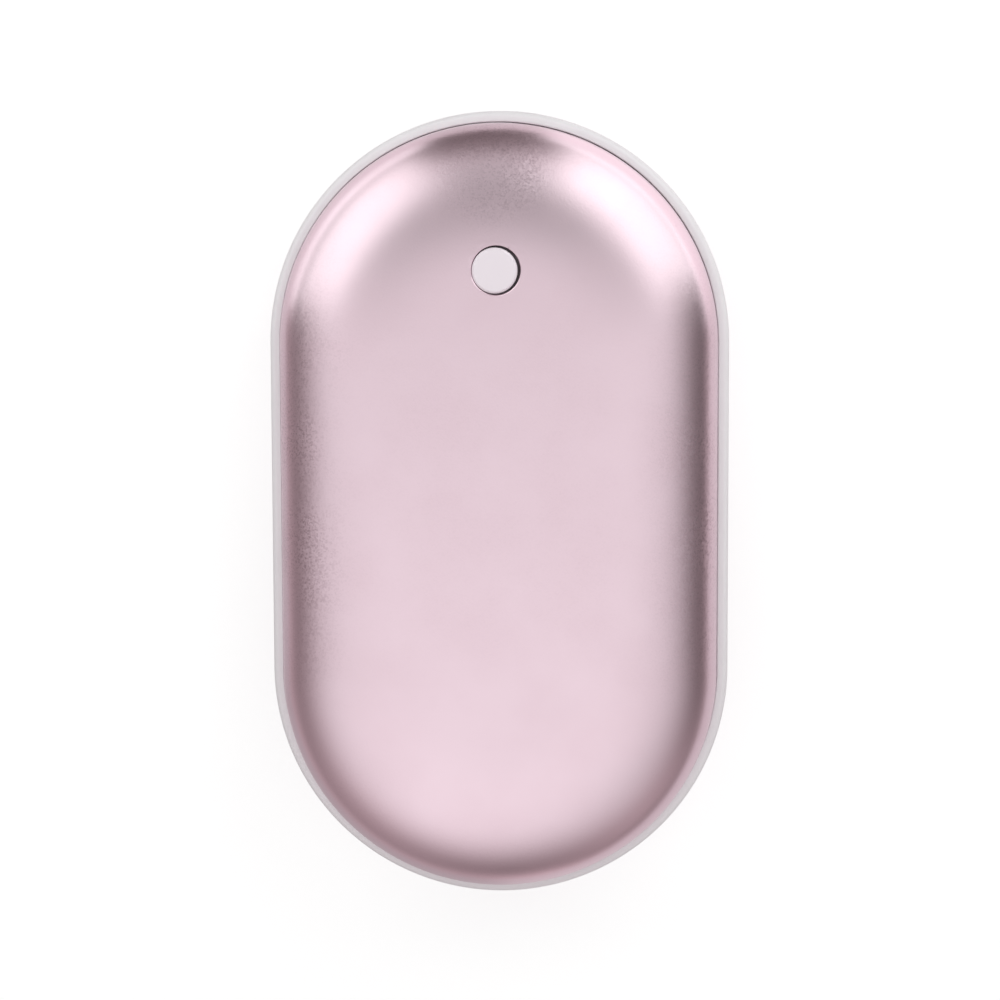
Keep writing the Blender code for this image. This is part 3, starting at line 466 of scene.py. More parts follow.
innerFinishes = {
    # undyed ABS, never seen, straight from the mould
    "naturalAbs": {
        "colour": "#D8D3C4", "shade": "#CBC5B3", "patch": 0.012, "patchiness": 0.6,
        "grain": 0.0004, "roughness": 0.5, "roughSpread": 0.05, "bumpStrength": 0.15,
        "bumpDepth": 0.00003,
    },
    # amber polyimide over an etched track: glossy and slightly uneven
    "polyimideFilm": {
        "colour": "#C27A22", "shade": "#9A5A14", "patch": 0.004, "patchiness": 0.8,
        "grain": 0.0012, "roughness": 0.25, "roughSpread": 0.05, "bumpStrength": 0.2,
        "bumpDepth": 0.00005, "more": {"IOR": 1.7},
    },
    # closed-cell foam, matt with tiny pores
    "closedCellFoam": {
        "colour": "#4A4A4D", "shade": "#3A3A3C", "patch": 0.003, "patchiness": 1.0,
        "grain": 0.0005, "roughness": 0.9, "roughSpread": 0.05, "bumpStrength": 0.8,
        "bumpDepth": 0.0002,
    },
    # PVC shrunk over a steel can: smooth, with a soft gloss
    "shrunkSleeve": {
        "colour": "#2E6DA8", "shade": "#24598C", "patch": 0.01, "patchiness": 0.5,
        "grain": 0.0015, "roughness": 0.3, "roughSpread": 0.06, "bumpStrength": 0.15,
        "bumpDepth": 0.00004, "more": {"IOR": 1.54},
    },
    # nickel strip as rolled, with faint marks of handling
    "rolledNickel": {
        "colour": "#CFCBC2", "shade": "#B9B4A9", "patch": 0.003, "patchiness": 0.8,
        "grain": 0.0003, "roughness": 0.3, "roughSpread": 0.08, "bumpStrength": 0.15,
        "bumpDepth": 0.00002, "metallic": 1.0,
    },
    # glass laminate under green solder mask
    "solderMask": {
        "colour": "#1E7A3C", "shade": "#17612F", "patch": 0.002, "patchiness": 0.7,
        "grain": 0.0006, "roughness": 0.35, "roughSpread": 0.08, "bumpStrength": 0.2,
        "bumpDepth": 0.00003, "more": {"IOR": 1.5},
    },
    # drawn steel with bright nickel plating
    "platedSteel": {
        "colour": "#C9C9CB", "shade": "#B4B4B7", "patch": 0.003, "patchiness": 0.6,
        "grain": 0.0004, "roughness": 0.24, "roughSpread": 0.06, "bumpStrength": 0.1,
        "bumpDepth": 0.00002, "metallic": 1.0,
    },
    # transfer-moulded epoxy, matt black
    "blackEpoxy": {
        "colour": "#242426", "shade": "#2E2E31", "patch": 0.002, "patchiness": 0.6,
        "grain": 0.0002, "roughness": 0.55, "roughSpread": 0.06, "bumpStrength": 0.3,
        "bumpDepth": 0.00003,
    },
    # milky clear epoxy of the small lamps
    "ledEpoxy": {
        "colour": "#EDEAD2", "shade": "#E3DDBA", "patch": 0.001, "patchiness": 0.6,
        "grain": 0.0003, "roughness": 0.2, "roughSpread": 0.04, "bumpStrength": 0.05,
        "bumpDepth": 0.00001,
        "more": {"IOR": 1.53, "Subsurface Weight": 0.3, "Subsurface Scale": 0.001},
    },
    # silicone insulation, red
    "redSilicone": {
        "colour": "#A81E1E", "shade": "#8E1717", "patch": 0.003, "patchiness": 0.5,
        "grain": 0.0004, "roughness": 0.5, "roughSpread": 0.05, "bumpStrength": 0.1,
        "bumpDepth": 0.00002,
    },
    # silicone insulation, black
    "blackSilicone": {
        "colour": "#1E1E20", "shade": "#28282A", "patch": 0.003, "patchiness": 0.5,
        "grain": 0.0004, "roughness": 0.5, "roughSpread": 0.05, "bumpStrength": 0.1,
        "bumpDepth": 0.00002,
    },
    # hard gold flash on the sockets' contacts
    "goldFlash": {
        "colour": "#E3BE6B", "shade": "#CFA654", "patch": 0.001, "patchiness": 0.5,
        "grain": 0.0003, "roughness": 0.22, "roughSpread": 0.05, "bumpStrength": 0.05,
        "bumpDepth": 0.00001, "metallic": 1.0,
    },
}
inner = {name: surface(name, finish) for name, finish in innerFinishes.items()}
slotFinishes = {
    "rose_aluminium": roseAluminium, "white_abs": whiteAbs,
    "natural_abs": inner["naturalAbs"], "polyimide_film": inner["polyimideFilm"],
    "grey_foam": inner["closedCellFoam"], "sleeved_cell": inner["shrunkSleeve"],
    "nickel": inner["rolledNickel"], "board_laminate": inner["solderMask"],
    "plated_steel": inner["platedSteel"], "black_resin": inner["blackEpoxy"],
    "led_resin": inner["ledEpoxy"], "red_insulation": inner["redSilicone"],
    "black_insulation": inner["blackSilicone"],
}
for row in frame["record"]["subparts"]:
    node = nodes[row["node"]]
    node.data.materials.clear()
    node.data.materials.append(slotFinishes[row["material_slot"]])
print("finishes made")


def dress(piece, material, body="housing"):
    piece.data.materials.clear()
    piece.data.materials.append(material)
    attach(piece, body)
    return piece


# Shells: deep-drawn aluminium, 0.8 mm, with the edge turned down into the frame

shell = {
    "wall": 0.0008,
    "flat": 0.009,          # half-width of the flat in the middle
    "power": 2.5,           # of the dome's section
    "outerSteps": 44,
    "innerSteps": 16,
    "stepPower": 1.25,      # the first steps are finer, where the bend is tight
    "edgeRound": 0.00015,
    "lipSeat": shellBox[0].z,
    "holeGap": 0.00019,
    "lowInSeat": 0.00011,   # the shell sits this far towards the lower end
    "holeRound": 0.00015,
    "holePoints": 128,
    "holeWallReach": 0.00003,   # what counts as the hole's wall
    "roundSteps": 4,
    "smoothDegrees": 9,
    "overrun": 0.002,
}


def domePoint(angle, depth):
    reach = outline["shellHalf"] - shell["flat"]
    height = outline["crown"] - outline["bandHigh"]
    cosine, sine = max(math.cos(angle), 0.0), math.sin(angle)
    across = reach * cosine ** (2 / shell["power"])
    rise = height * sine ** (2 / shell["power"])
    outward = Vector((
        cosine ** (2 - 2 / shell["power"]) / reach,
        sine ** (2 - 2 / shell["power"]) / height,
    )).normalized()
    return shell["flat"] + across - depth * outward.x, rise - depth * outward.y


def domeRings(depth, steps):
    # from the band's edge in to the flat
    rings = []
    for step in range(steps + 1):
        share = (step / steps) ** shell["stepPower"]
        half, rise = domePoint(share * math.pi / 2, depth)
        rings.append((half, outline["bandHigh"] + rise))
    return rings


def shellRings():
    half, wall, edge = outline["shellHalf"], shell["wall"], shell["edgeRound"]
    rings = list(reversed(domeRings(wall, shell["innerSteps"])))
    seat = shell["lipSeat"]
    rings += [(half - wall, seat + edge), (half - wall + edge, seat)]
    rings += [(half - edge, seat), (half, seat + edge)]
    return rings + domeRings(0.0, shell["outerSteps"])


frontShell = stadiumTurned("frontShellSkin", shellRings())
shiftVertices(frontShell, lambda co: True, (0, -shell["lowInSeat"], 0))
holeRadius = outline["buttonRadius"] + shell["holeGap"]
holeRings = [(holeRadius, outline["crown"] - shell["wall"] - shell["overrun"])]
for step in range(shell["roundSteps"] + 1):
    turn = math.pi / 2 * step / shell["roundSteps"]
    holeRings.append((
        holeRadius + shell["holeRound"] * (1 - math.cos(turn)),
        outline["crown"] - shell["holeRound"] * (1 - math.sin(turn)),
    ))
holeRings.append((holeRings[-1][0], outline["crown"] + shell["overrun"]))
combine(frontShell, turned("buttonHole", holeRings, shell["holePoints"], (0.0, outline["buttonY"])))
closeUp(frontShell, shell["smoothDegrees"])
dress(frontShell, roseAluminium)
frontShell.data.materials.append(holeWallShade)
# painted shade: the hole's wall gets the darker finish
for face in frontShell.data.polygons:
    away = math.hypot(face.center.x, face.center.y - outline["buttonY"])
    below = face.center.z < outline["crown"] - shell["holeRound"]
    if below and away < holeRadius + shell["holeWallReach"]:
        face.material_index = 1
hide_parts("front_shell")

rearShell = stadiumTurned("rearShellSkin", [
    (half, 2 * outline["middle"] - height) for half, height in shellRings()
])
dress(rearShell, roseAluminium)
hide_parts("rear_shell")
print("shells made:", len(frontShell.data.polygons), "faces in the front one")


# Frame: the moulded tray keeps its ribs, saddles and bosses, and gets a fine band

band = {
    "wall": 0.00158,
    "rimFlat": 0.00036,
    "rimPower": 3.4,
    "steps": 40,
    "lipDepth": 0.0012,
    "shelf": 0.0012,
    "edgeRound": 0.00012,
    "flange": 0.0003,       # how far the band's foot reaches into the tray's shelf
    "trim": 0.00015,        # the tray is cut this far inside the band's wall
    "inset": 0.0001,
    "portGap": 0.0002,
    "pocketMargin": 0.00045,
    "pocketRound": 0.0003,
    "seamReach": 0.00003,   # what counts as the wall beside the seam
    "upright": 0.1,         # how far its faces may lean
    "socketWall": 0.001,    # the thin wall inside, round the sockets' mouths
    "socketWallRise": 0.0003,
    "socketWallInset": 0.000075,
    "plugStretch": 2,       # a socket's plug goes right through the wall
    "overrun": 0.002,
}


def bandRings():
    inside = outline["halfWidth"] - band["wall"]
    rearLedge = outline["bandLow"] + band["lipDepth"]
    foot = inside - band["flange"]
    edge = band["edgeRound"]
    middle = outline["middle"]
    halfHeight = outline["bandHigh"] - middle
    bulge = outline["halfWidth"] - inside - band["rimFlat"]
    rings = [(foot, rearLedge + band["inset"]), (inside, rearLedge + band["inset"])]
    rings += [(inside, outline["bandLow"] + edge), (inside + edge, outline["bandLow"])]
    for step in range(band["steps"] + 1):
        turn = math.pi * (step / band["steps"] - 0.5)
        out = max(math.cos(turn), 0.0) ** (2 / band["rimPower"])
        up = math.copysign(abs(math.sin(turn)) ** (2 / band["rimPower"]), turn)
        rings.append((inside + band["rimFlat"] + bulge * out, middle + up * halfHeight))
    rings += [(inside + edge, outline["bandHigh"]), (inside, outline["bandHigh"] - edge)]
    top = rearLedge + band["shelf"] - band["inset"]
    return rings + [(inside, top), (foot, top), rings[0]]


def portCutter(name, box, margin, low, high, rounding):
    return block(
        name,
        (box[0].x - margin, low, box[0].z - margin),
        (box[1].x + margin, high, box[1].z + margin),
        rounding,
    )


def copyOf(node, name):
    made = nodes[node].copy()
    made.data = nodes[node].data.copy()
    made.parent = None
    for key in list(made.keys()):
        del made[key]
    bpy.context.scene.collection.objects.link(made)
    made.name = name
    made.data.name = name
    return made


def makeSocketWall():
    # it closes the pockets round the sockets' mouths, where the band curves away from them
    side = band["pocketMargin"] + band["socketWallRise"]
    mouth = portBox[1].y - band["socketWallInset"]
    wall = block(
        "socketWall",
        (portBox[0].x - side, mouth - band["socketWall"], portBox[0].z - side),
        (microBox[1].x + side, mouth, portBox[1].z + side),
    )
    for node, box in (("usb_a_shell", portBox), ("micro_usb_shell", microBox)):
        plug = copyOf(node, "socketPlug")
        takeUp(plug)
        bpy.ops.object.mode_set(mode="EDIT")
        bpy.ops.mesh.select_all(action="SELECT")
        bpy.ops.mesh.convex_hull()
        size, grown = box[1] - box[0], 2 * band["portGap"]
        bpy.ops.transform.resize(
            value=(1 + grown / size.x, band["plugStretch"], 1 + grown / size.z),
            center_override=(box[0] + box[1]) / 2,
        )
        bpy.ops.object.mode_set(mode="OBJECT")
        combine(wall, plug)
    return wall


def makeFrame():
    fine = stadiumTurned("bandSkin", bandRings(), capped=False)
    tray = copyOf("mid_frame", "frameSkin")
    takeUp(tray)
    bpy.ops.object.mode_set(mode="EDIT")
    bpy.ops.mesh.select_all(action="SELECT")
    bpy.ops.mesh.remove_doubles(threshold=outline["weld"] / 4)
    bpy.ops.object.mode_set(mode="OBJECT")
    keep = outline["halfWidth"] - band["wall"] - band["trim"]
    core = stadiumTurned("trayLimit", [(keep, -band["overrun"]), (keep, outline["crown"])])
    combine(tray, core, "INTERSECT")
    for box in (portBox, microBox):
        combine(fine, portCutter(
            "socketWay", box, band["portGap"], box[0].y, outline["halfWidth"] * 2, 0.0,
        ))
        combine(fine, portCutter(
            "portPocket", box, band["pocketMargin"], box[1].y, outline["halfWidth"] * 2,
            band["pocketRound"],
        ))
    combine(fine, makeSocketWall(), "UNION")
    combine(tray, fine, "UNION")
    return closeUp(tray)


frameSkin = makeFrame()
dress(frameSkin, whiteAbs)
frameSkin.data.materials.append(gapShadeAbs)
for face in frameSkin.data.polygons:
    # painted shade: the seam's wall beside the front shell gets the dark gap finish too
    past = max(abs(face.center.y) - outline["halfStraight"], 0.0)
    inward = math.hypot(face.center.x, past) - outline["halfWidth"] + band["wall"]
    upright = abs(face.normal.z) < band["upright"]
    if upright and abs(inward) < band["seamReach"] and face.center.z > outline["middle"]:
        face.material_index = 1
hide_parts("mid_frame")
print("frame made:", len(frameSkin.data.polygons), "faces")


# Button: a polished cap on a flange, with a cross-shaped stem down to the switch

button = {
    "points": 128,
    "play": (-0.00017, -0.00004),  # where the cap rests in its hole
    "paintedShadeLine": 0.0004,     # under the shell's crown, where the painted shade starts
    "edge": 0.0004,
    "edgeSteps": 7,
    "flangeRadius": 0.0042,
    "flangeTop": 0.0018,    # under the shell's crown
    "flangeThickness": 0.0008,
    "collarRadius": 0.002,
    "collar": 0.0014,
    "blade": 0.0012,
    "bladeInset": 0.00012,
}


def makeButton():
    top, radius = buttonBox[1].z, outline["buttonRadius"]
    flangeTop = outline["crown"] - button["flangeTop"]
    flangeLow = flangeTop - button["flangeThickness"]
    collarLow = flangeLow - button["collar"]
    rings = [
        (button["collarRadius"], collarLow), (button["collarRadius"], flangeLow),
        (button["flangeRadius"], flangeLow), (button["flangeRadius"], flangeTop),
        (radius, flangeTop),
    ]
    for step in range(button["edgeSteps"] + 1):
        turn = math.pi / 2 * step / button["edgeSteps"]
        rings.append((
            radius - button["edge"] * (1 - math.cos(turn)),
            top - button["edge"] * (1 - math.sin(turn)),
        ))
    middleX, middleY = button["play"][0], outline["buttonY"] + button["play"][1]
    cap = turned("buttonSkin", rings, button["points"], (middleX, middleY))
    reach = button["collarRadius"] - button["bladeInset"]
    for across, along in ((reach, button["blade"] / 2), (button["blade"] / 2, reach)):
        blade = block(
            "stemBlade",
            (middleX - across, middleY - along, buttonBox[0].z),
            (middleX + across, middleY + along, collarLow + button["collar"] / 2),
        )
        combine(cap, blade, "UNION")
    # an edge at the painted shade's line, so that a face lies wholly above or under it
    takeUp(cap)
    bpy.ops.object.mode_set(mode="EDIT")
    bpy.ops.mesh.select_all(action="SELECT")
    bpy.ops.mesh.bisect(
        plane_co=(middleX, middleY, outline["crown"] - button["paintedShadeLine"]), plane_no=(0, 0, 1),
    )
    bpy.ops.object.mode_set(mode="OBJECT")
    return closeUp(cap)


buttonSkin = makeButton()
dress(buttonSkin, buttonAbs, "button")
buttonSkin.data.materials.append(gapShadeAbs)
# painted shade: faces under that line get the dark gap finish
for face in buttonSkin.data.polygons:
    if face.center.z < outline["crown"] - button["paintedShadeLine"]:
        face.material_index = 1
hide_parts("button_cap")
print("button made")


# Sockets: contact strips on both tongues

contacts = {
    "thickness": 0.00012,
    "rounding": 0.00004,
    "roundSteps": 2,
    "usb": {
        "name": "usbContacts", "tongue": "usb_a_tongue", "width": 0.001, "back": 0.0075,
        "places": (-0.0035, -0.001, 0.001, 0.0035), "setback": 0.0006,
        "top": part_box("usb_a_tongue")[1].z - 0.00234,  # under the tongue's blade
    },
    "micro": {
        "name": "microContacts", "tongue": "micro_usb_tongue", "width": 0.0003, "back": 0.0032,
        "places": (-0.0013, -0.00065, 0.0, 0.00065, 0.0013), "setback": 0.0003,
        "top": (microBox[0].z + microBox[1].z) / 2,
    },
}


def makeContacts(row):
    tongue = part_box(row["tongue"])
    middle = (tongue[0].x + tongue[1].x) / 2
    front = tongue[1].y - row["setback"]
    strips = []
    for place in row["places"]:
        low, high = middle + place - row["width"] / 2, middle + place + row["width"] / 2
        strips.append(block(
            "contactStrip", (low, front - row["back"], row["top"] - contacts["thickness"]),
            (high, front, row["top"]), contacts["rounding"], contacts["roundSteps"],
        ))
    return joinAll(row["name"], strips)


for kind in ("usb", "micro"):
    dress(makeContacts(contacts[kind]), inner["goldFlash"])
print("contacts made")


# Floor: a pale sheet of paper that the camera and the metal see as near white

floorSheet = {
    "size": 2.4,
    "parts": 8,
    "drop": 0.00002,        # under the body, so that their faces never share a plane
    "glow": 0.62,           # what the camera and the metal see, on top of the lamps' light
    "colour": "#C4C4C4",
    "farGlow": (0.15, 0.6, 0.0, 0.38),  # from one distance to another, and the glow added
}


def makeFloor():
    deselectAll()
    bpy.ops.mesh.primitive_grid_add(
        x_subdivisions=floorSheet["parts"], y_subdivisions=floorSheet["parts"],
        size=floorSheet["size"], location=(0, 0, -floorSheet["drop"]),
    )
    floor = bpy.context.active_object
    floor.name = "floorSheet"
    paper = bpy.data.materials.new("palePaper")
    paper.use_nodes = True
    tree = paper.node_tree
    tree.nodes.clear()
    diffuse = addNode(
        tree, "ShaderNodeBsdfDiffuse", values={"Color": linearColour(floorSheet["colour"])},
    ).outputs["BSDF"]
    rays = addNode(tree, "ShaderNodeLightPath").outputs
    seen = addNode(
        tree, "ShaderNodeMath", {"operation": "MAXIMUM"},
        links={0: rays["Is Camera Ray"], 1: rays["Is Glossy Ray"]},
    ).outputs[0]
    seen = addNode(
        tree, "ShaderNodeMath", {"operation": "MAXIMUM"},
        links={0: seen, 1: rays["Is Transmission Ray"]},
    ).outputs[0]
    # the lamps don't reach the far floor, so it glows more, but only as a background
    place = addNode(tree, "ShaderNodeTexCoord").outputs["Object"]
    away = addNode(
        tree, "ShaderNodeVectorMath", {"operation": "LENGTH"}, links={0: place},
    ).outputs["Value"]
    low, high, atLow, atHigh = floorSheet["farGlow"]
    added = addNode(
        tree, "ShaderNodeMapRange",
        values={"From Min": low, "From Max": high, "To Min": atLow, "To Max": atHigh},
        links={"Value": away},
    ).outputs["Result"]
    added = addNode(
        tree, "ShaderNodeMath", {"operation": "MULTIPLY"},
        links={0: added, 1: rays["Is Camera Ray"]},
    ).outputs[0]
    strength = addNode(
        tree, "ShaderNodeMath", {"operation": "MULTIPLY_ADD"}, {1: floorSheet["glow"]},
        {0: seen, 2: added},
    ).outputs[0]
    glow = addNode(tree, "ShaderNodeEmission", links={"Strength": strength}).outputs["Emission"]
    both = addNode(tree, "ShaderNodeAddShader", links={0: diffuse, 1: glow}).outputs["Shader"]
    # from below the sheet is clear, so that the rear shell can be looked at
    under = addNode(tree, "ShaderNodeNewGeometry").outputs["Backfacing"]
    clear = addNode(tree, "ShaderNodeBsdfTransparent").outputs["BSDF"]
    either = addNode(
        tree, "ShaderNodeMixShader", links={"Fac": under, 1: both, 2: clear},
    ).outputs["Shader"]
    addNode(tree, "ShaderNodeOutputMaterial", links={"Surface": either})
    floor.data.materials.append(paper)


makeFloor()


# Light: a graded dome, two tall panels past the upper corners, a side lamp and low cards

skyHeights = (
    # height of the direction over the horizon as a sine, and the level there
    (0.0, 0.27), (0.3, 0.29), (0.45, 0.4), (0.58, 0.59), (0.7, 0.79), (0.82, 0.95), (1.0, 1.0),
)
skySides = (
    # how far the direction leans to +Y, -1 to 1 made 0 to 1, and the level there
    (0.03, 1.46), (0.12, 1.45), (0.19, 1.39), (0.28, 1.16), (0.42, 1.05), (0.5, 0.94),
    (0.56, 0.62), (0.62, 0.39), (0.69, 0.31), (0.78, 0.44), (0.87, 0.75), (0.96, 0.68),
)
skyRight = (
    # how far the direction leans to +X, in the same way
    (0.5, 1.0), (0.68, 1.06), (0.78, 1.08), (0.86, 1.0), (0.92, 0.86), (1.0, 0.76),
)
skyLowerRight = (
    # how far the direction leans to the lower right corner, in the same way
    (0.6, 1.0), (0.7, 0.9), (0.78, 0.74), (0.85, 0.64), (0.91, 0.71), (0.95, 0.84), (0.985, 1.1),
)
skyLowerLeft = (
    # and to the lower left corner
    (0.66, 1.0), (0.75, 0.95), (0.84, 0.89), (0.9, 0.89), (0.95, 0.96), (1.0, 1.0),
)
skyTint = ((0.3, "#FFEBED"), (0.75, "#FFFFFF"))  # the room's lower half is a little rosy
panels = {
    "distance": 0.2,
    "colour": (0.95, 1.0, 0.98),
    "made": (
        {"name": "right", "azimuth": 44, "width": 0.21, "low": 0.05, "high": 0.31, "level": 1.36},
        {"name": "rightLow", "azimuth": 44, "width": 0.21, "low": 0.0, "high": 0.05, "level": 0.93},
        {"name": "rightTop", "azimuth": 44, "width": 0.23, "low": 0.31, "high": 0.39, "level": 0.9},
        {"name": "left", "azimuth": 143, "width": 0.2, "low": 0.07, "high": 0.31, "level": 1.28},
        {"name": "leftLow", "azimuth": 143, "width": 0.2, "low": 0.0, "high": 0.07, "level": 0.72},
        {"name": "leftTop", "azimuth": 143, "width": 0.2, "low": 0.31, "high": 0.35, "level": 0.8},
    ),
}
sideLamp = {"azimuth": -12, "elevation": 16, "distance": 0.4, "size": 0.2, "energy": 0.14}
cards = {
    "floorGap": 0.0005,     # from the floor to their foot
    "offset": 0.052,        # outside the body
    "lowerEnd": -0.016,     # further out past the lower end
    "rightSide": 0.048,     # and on the right
    "height": 0.026,
    "lowerRise": 0.003,     # how much higher it is at the lower end
    "levels": {
        # the light they give, at the upper edge and at the foot
        "left": (0.26, 0.44), "lowerLeft": (0.26, 0.58), "lowerRight": (0.28, 0.8),
        "right": (0.205, 0.44), "top": (0.125, 0.24),
    },
    "apron": {
        # on the floor at their foot, left and right of the middle
        "side": (0.68, 0.78), "lower": (0.48, 0.7), "open": (0.86, 1.16),
    },
    "underLevel": 1.0,      # and under the body itself
    "underHalf": 0.0225,    # how far that reaches out from the middle line
    "underBlend": 0.0036,
    "blend": 0.012,         # how gently one level turns into the next
    "blendAngle": 4,
    "tints": {"card": "#FFEBED", "floor": "#FFF8FA"},
    "topAngles": (-22, 13),  # of the card past the upper end, left and right of +Y
    "step": 0.014,
}


def makeSky():
    world = bpy.data.worlds.new("studioDome")
    bpy.context.scene.world = world
    world.use_nodes = True
    tree = world.node_tree
    tree.nodes.clear()
    direction = addNode(tree, "ShaderNodeTexCoord").outputs["Generated"]
    parts = addNode(tree, "ShaderNodeSeparateXYZ", links={"Vector": direction}).outputs
    leans = []
    for towards in ((0, 1, 0), (1, 0, 0), (1, -1, 0), (-1, -1, 0)):
        lean = addNode(
            tree, "ShaderNodeVectorMath", {"operation": "DOT_PRODUCT"},
            {1: Vector(towards).normalized()}, {0: direction},
        ).outputs["Value"]
        leans.append(addNode(
            tree, "ShaderNodeMapRange",
            values={"From Min": -1.0, "From Max": 1.0, "To Min": 0.0, "To Max": 1.0},
            links={"Value": lean},
        ).outputs["Result"])
    level = levelRamp(tree, parts["Z"], skyHeights)
    for lean, stops in zip(leans, (skySides, skyRight, skyLowerRight, skyLowerLeft)):
        level = addNode(
            tree, "ShaderNodeMath", {"operation": "MULTIPLY"},
            links={0: level, 1: levelRamp(tree, lean, stops)},
        ).outputs[0]
    tint = addNode(tree, "ShaderNodeValToRGB", links={"Fac": parts["Z"]})
    for element, (position, code) in zip(tint.color_ramp.elements, skyTint):
        element.position = position
        element.color = linearColour(code)
    dome = addNode(
        tree, "ShaderNodeBackground", links={"Color": tint.outputs["Color"], "Strength": level},
    ).outputs["Background"]
    white = addNode(
        tree, "ShaderNodeBackground", values={"Color": (1.0, 1.0, 1.0, 1.0), "Strength": 1.0},
    ).outputs["Background"]
    camera = addNode(tree, "ShaderNodeLightPath").outputs["Is Camera Ray"]
    both = addNode(
        tree, "ShaderNodeMixShader", links={"Fac": camera, 1: dome, 2: white},
    ).outputs["Shader"]
    addNode(tree, "ShaderNodeOutputWorld", links={"Surface": both})


def makePanels():
    for panel in panels["made"]:
        turn = math.radians(panel["azimuth"])
        lamp = bpy.data.lights.new("panel_" + panel["name"], "AREA")
        lamp.shape = "RECTANGLE"
        lamp.size = panel["width"]
        lamp.size_y = panel["high"] - panel["low"]
        lamp.energy = panel["level"] * math.pi * lamp.size * lamp.size_y
        lamp.color = panels["colour"]
        holder = bpy.data.objects.new(lamp.name, lamp)
        bpy.context.scene.collection.objects.link(holder)
        outward = Vector((math.cos(turn), math.sin(turn), 0))
        holder.location = (
            outward.x * panels["distance"],
            outline["halfStraight"] + outward.y * panels["distance"],
            (panel["low"] + panel["high"]) / 2,
        )
        sideways = Vector((0, 0, 1)).cross(outward)
        holder.rotation_euler = Matrix((
            sideways, (0, 0, 1), outward,
        )).transposed().to_euler()


def makeSideLamp():
    # a low soft lamp on the right, which the plastic takes up and the metal doesn't mirror
    lamp = bpy.data.lights.new("sideLamp", "AREA")
    lamp.size = sideLamp["size"]
    lamp.energy = sideLamp["energy"]
    holder = bpy.data.objects.new("sideLamp", lamp)
    bpy.context.scene.collection.objects.link(holder)
    turn, lift = math.radians(sideLamp["azimuth"]), math.radians(sideLamp["elevation"])
    outward = Vector((
        math.cos(turn) * math.cos(lift), math.sin(turn) * math.cos(lift), math.sin(lift),
    ))
    holder.location = outward * sideLamp["distance"]
    holder.rotation_euler = outward.to_track_quat("Z", "Y").to_euler()
    holder.visible_glossy = False


def eased(value, middle, spread):
    share = min(max((value - middle) / (2 * spread) + 0.5, 0.0), 1.0)
    return share * share * (3 - 2 * share)


def between(pair, other, share):
    return [first + (second - first) * share for first, second in zip(pair, other)]


def cardLevel(co):
    levels, blend = cards["levels"], cards["blend"]
    if co.y > outline["halfWidth"] + cards["offset"]:
        pair = levels["top"]
    else:
        lower = eased(-co.y, outline["halfStraight"], blend)
        pair = between(levels["lowerLeft"], levels["lowerRight"], eased(co.x, 0, 2 * blend))
        pair = between(levels["left"], pair, lower)
        pair = between(pair, levels["right"], eased(co.x, outline["halfWidth"], blend))
    return pair[0] if co.z > cards["height"] / 2 else pair[1]


def apronLevel(co):
    levels, blend = cards["apron"], cards["blend"]
    turn = math.degrees(math.atan2(co.x, co.y - outline["halfStraight"]))
    left, right = cards["topAngles"]
    card = eased(turn, left, cards["blendAngle"]) - eased(turn, right, cards["blendAngle"])
    clear = (1 - card) * eased(co.y, outline["halfStraight"] + cards["step"], blend)
    pair = between(levels["side"], levels["lower"], eased(-co.y, outline["halfStraight"], blend))
    pair = between(pair, levels["open"], clear)
    level = pair[0] + (pair[1] - pair[0]) * eased(co.x, 0, blend)
    away = math.hypot(co.x, max(abs(co.y) - outline["halfStraight"], 0))
    outside = eased(away, cards["underHalf"], cards["underBlend"])
    return cards["underLevel"] + (level - cards["underLevel"]) * outside


def cardFinish():
    made = bpy.data.materials.new("glowingCard")
    made.use_nodes = True
    tree = made.node_tree
    tree.nodes.clear()
    level = addNode(tree, "ShaderNodeAttribute", {"attribute_name": "level"}).outputs["Color"]
    glow = addNode(tree, "ShaderNodeEmission", links={"Color": level}).outputs["Emission"]
    addNode(tree, "ShaderNodeOutputMaterial", links={"Surface": glow})
    return made


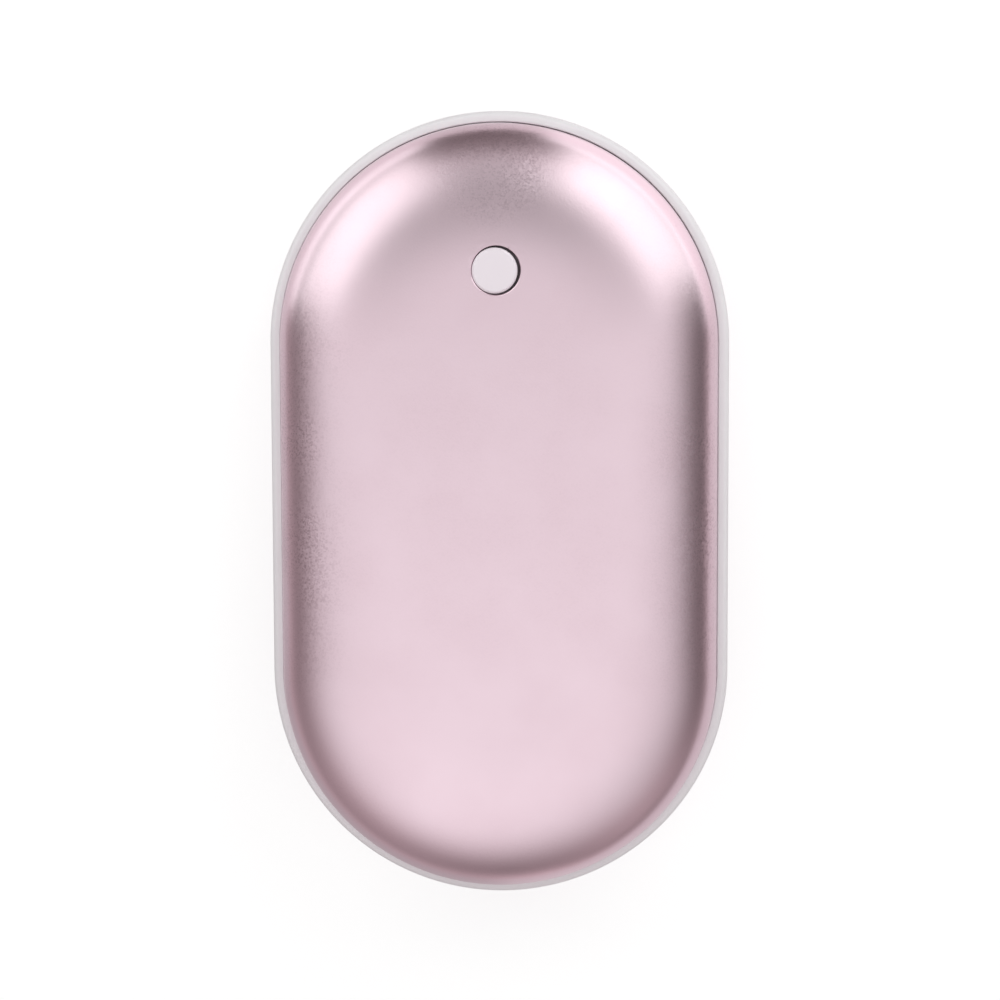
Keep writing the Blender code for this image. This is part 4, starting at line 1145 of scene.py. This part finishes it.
def makeCards():
    bodyHalf, foot = outline["halfWidth"], cards["floorGap"]
    half = bodyHalf + cards["offset"]
    fence = stadiumTurned("lowCards", [
        (bodyHalf / 2, foot), (bodyHalf, foot), (half, foot), (half, cards["height"]),
    ], capped=False)

    def lowerEnd(co):
        return co.y < -outline["halfStraight"]

    def opening(co):
        if co.y < outline["halfStraight"] + cards["step"]:
            return False
        turn = math.degrees(math.atan2(co.x, co.y - outline["halfStraight"]))
        return not cards["topAngles"][0] < turn < cards["topAngles"][1]

    def unwanted(co):
        return opening(co) and co.z > 2 * foot

    def lowerTop(co):
        return lowerEnd(co) and co.z > cards["height"] / 2

    def rightSide(co):
        return co.x > bodyHalf

    for wanted, shift in (
        (lowerEnd, (0, cards["lowerEnd"], 0)), (lowerTop, (0, 0, cards["lowerRise"])),
        (rightSide, (cards["rightSide"], 0, 0)),
    ):
        shiftVertices(fence, wanted, shift)
    chooseVertices(fence, unwanted)
    takeUp(fence)
    bpy.ops.object.mode_set(mode="EDIT")
    bpy.ops.mesh.delete(type="VERT")
    bpy.ops.object.mode_set(mode="OBJECT")
    fence.data.materials.clear()
    fence.data.materials.append(cardFinish())
    tints = {key: Vector(linearColour(code)) for key, code in cards["tints"].items()}
    glow = fence.data.color_attributes.new(name="level", type="FLOAT_COLOR", domain="CORNER")
    for face in fence.data.polygons:
        flat = face.center.z < 2 * foot
        for corner in face.loop_indices:
            co = fence.data.vertices[fence.data.loops[corner].vertex_index].co
            level = apronLevel(co) if flat else cardLevel(co)
            glow.data[corner].color = tints["floor" if flat else "card"] * level
    # seen by the metal alone, so that the floor round the body stays evenly lit
    fence.visible_camera = False
    fence.visible_diffuse = False
    fence.visible_shadow = False


makeSky()
makePanels()
makeSideLamp()
makeCards()
print("lights made")


# Camera: nearly square on to the front face, a little from the right and from the top

camera = {
    "right": 2.0, "top": 5.2,   # degrees off the face's own axis
    "roll": 0.19,               # degrees, clockwise
    "distance": 0.31,
    "lens": 84.23,
    "sensor": 36,
    "clip": (0.01, 20),
    "frame": 1000,              # the photograph's width and height
    "middle": (500.4, 504.0),   # where the photograph has the middle of the body
}


def makeCamera():
    data = bpy.data.cameras.new("photoView")
    data.lens = camera["lens"]
    data.sensor_width = camera["sensor"]
    data.clip_start, data.clip_end = camera["clip"]
    holder = bpy.data.objects.new("photoView", data)
    bpy.context.scene.collection.objects.link(holder)
    across = math.sin(math.radians(camera["right"]))
    along = math.sin(math.radians(camera["top"]))
    back = Vector((across, along, math.sqrt(1 - across ** 2 - along ** 2)))
    right = Vector((0, 1, 0)).cross(back).normalized()
    above = back.cross(right)
    turn = math.radians(camera["roll"])
    right, above = (
        right * math.cos(turn) - above * math.sin(turn),
        above * math.cos(turn) + right * math.sin(turn),
    )
    pixel = data.sensor_width / data.lens / camera["frame"] * camera["distance"]
    target = Vector((0, 0, outline["middle"]))
    target += right * (camera["frame"] / 2 - camera["middle"][0]) * pixel
    target += above * (camera["middle"][1] - camera["frame"] / 2) * pixel
    place = Matrix((right, above, back)).transposed().to_4x4()
    place.translation = target + back * camera["distance"]
    holder.matrix_world = place
    bpy.context.scene.camera = holder


makeCamera()
bpy.context.scene.view_settings.view_transform = "Standard"
print("camera set")

deselectAll()
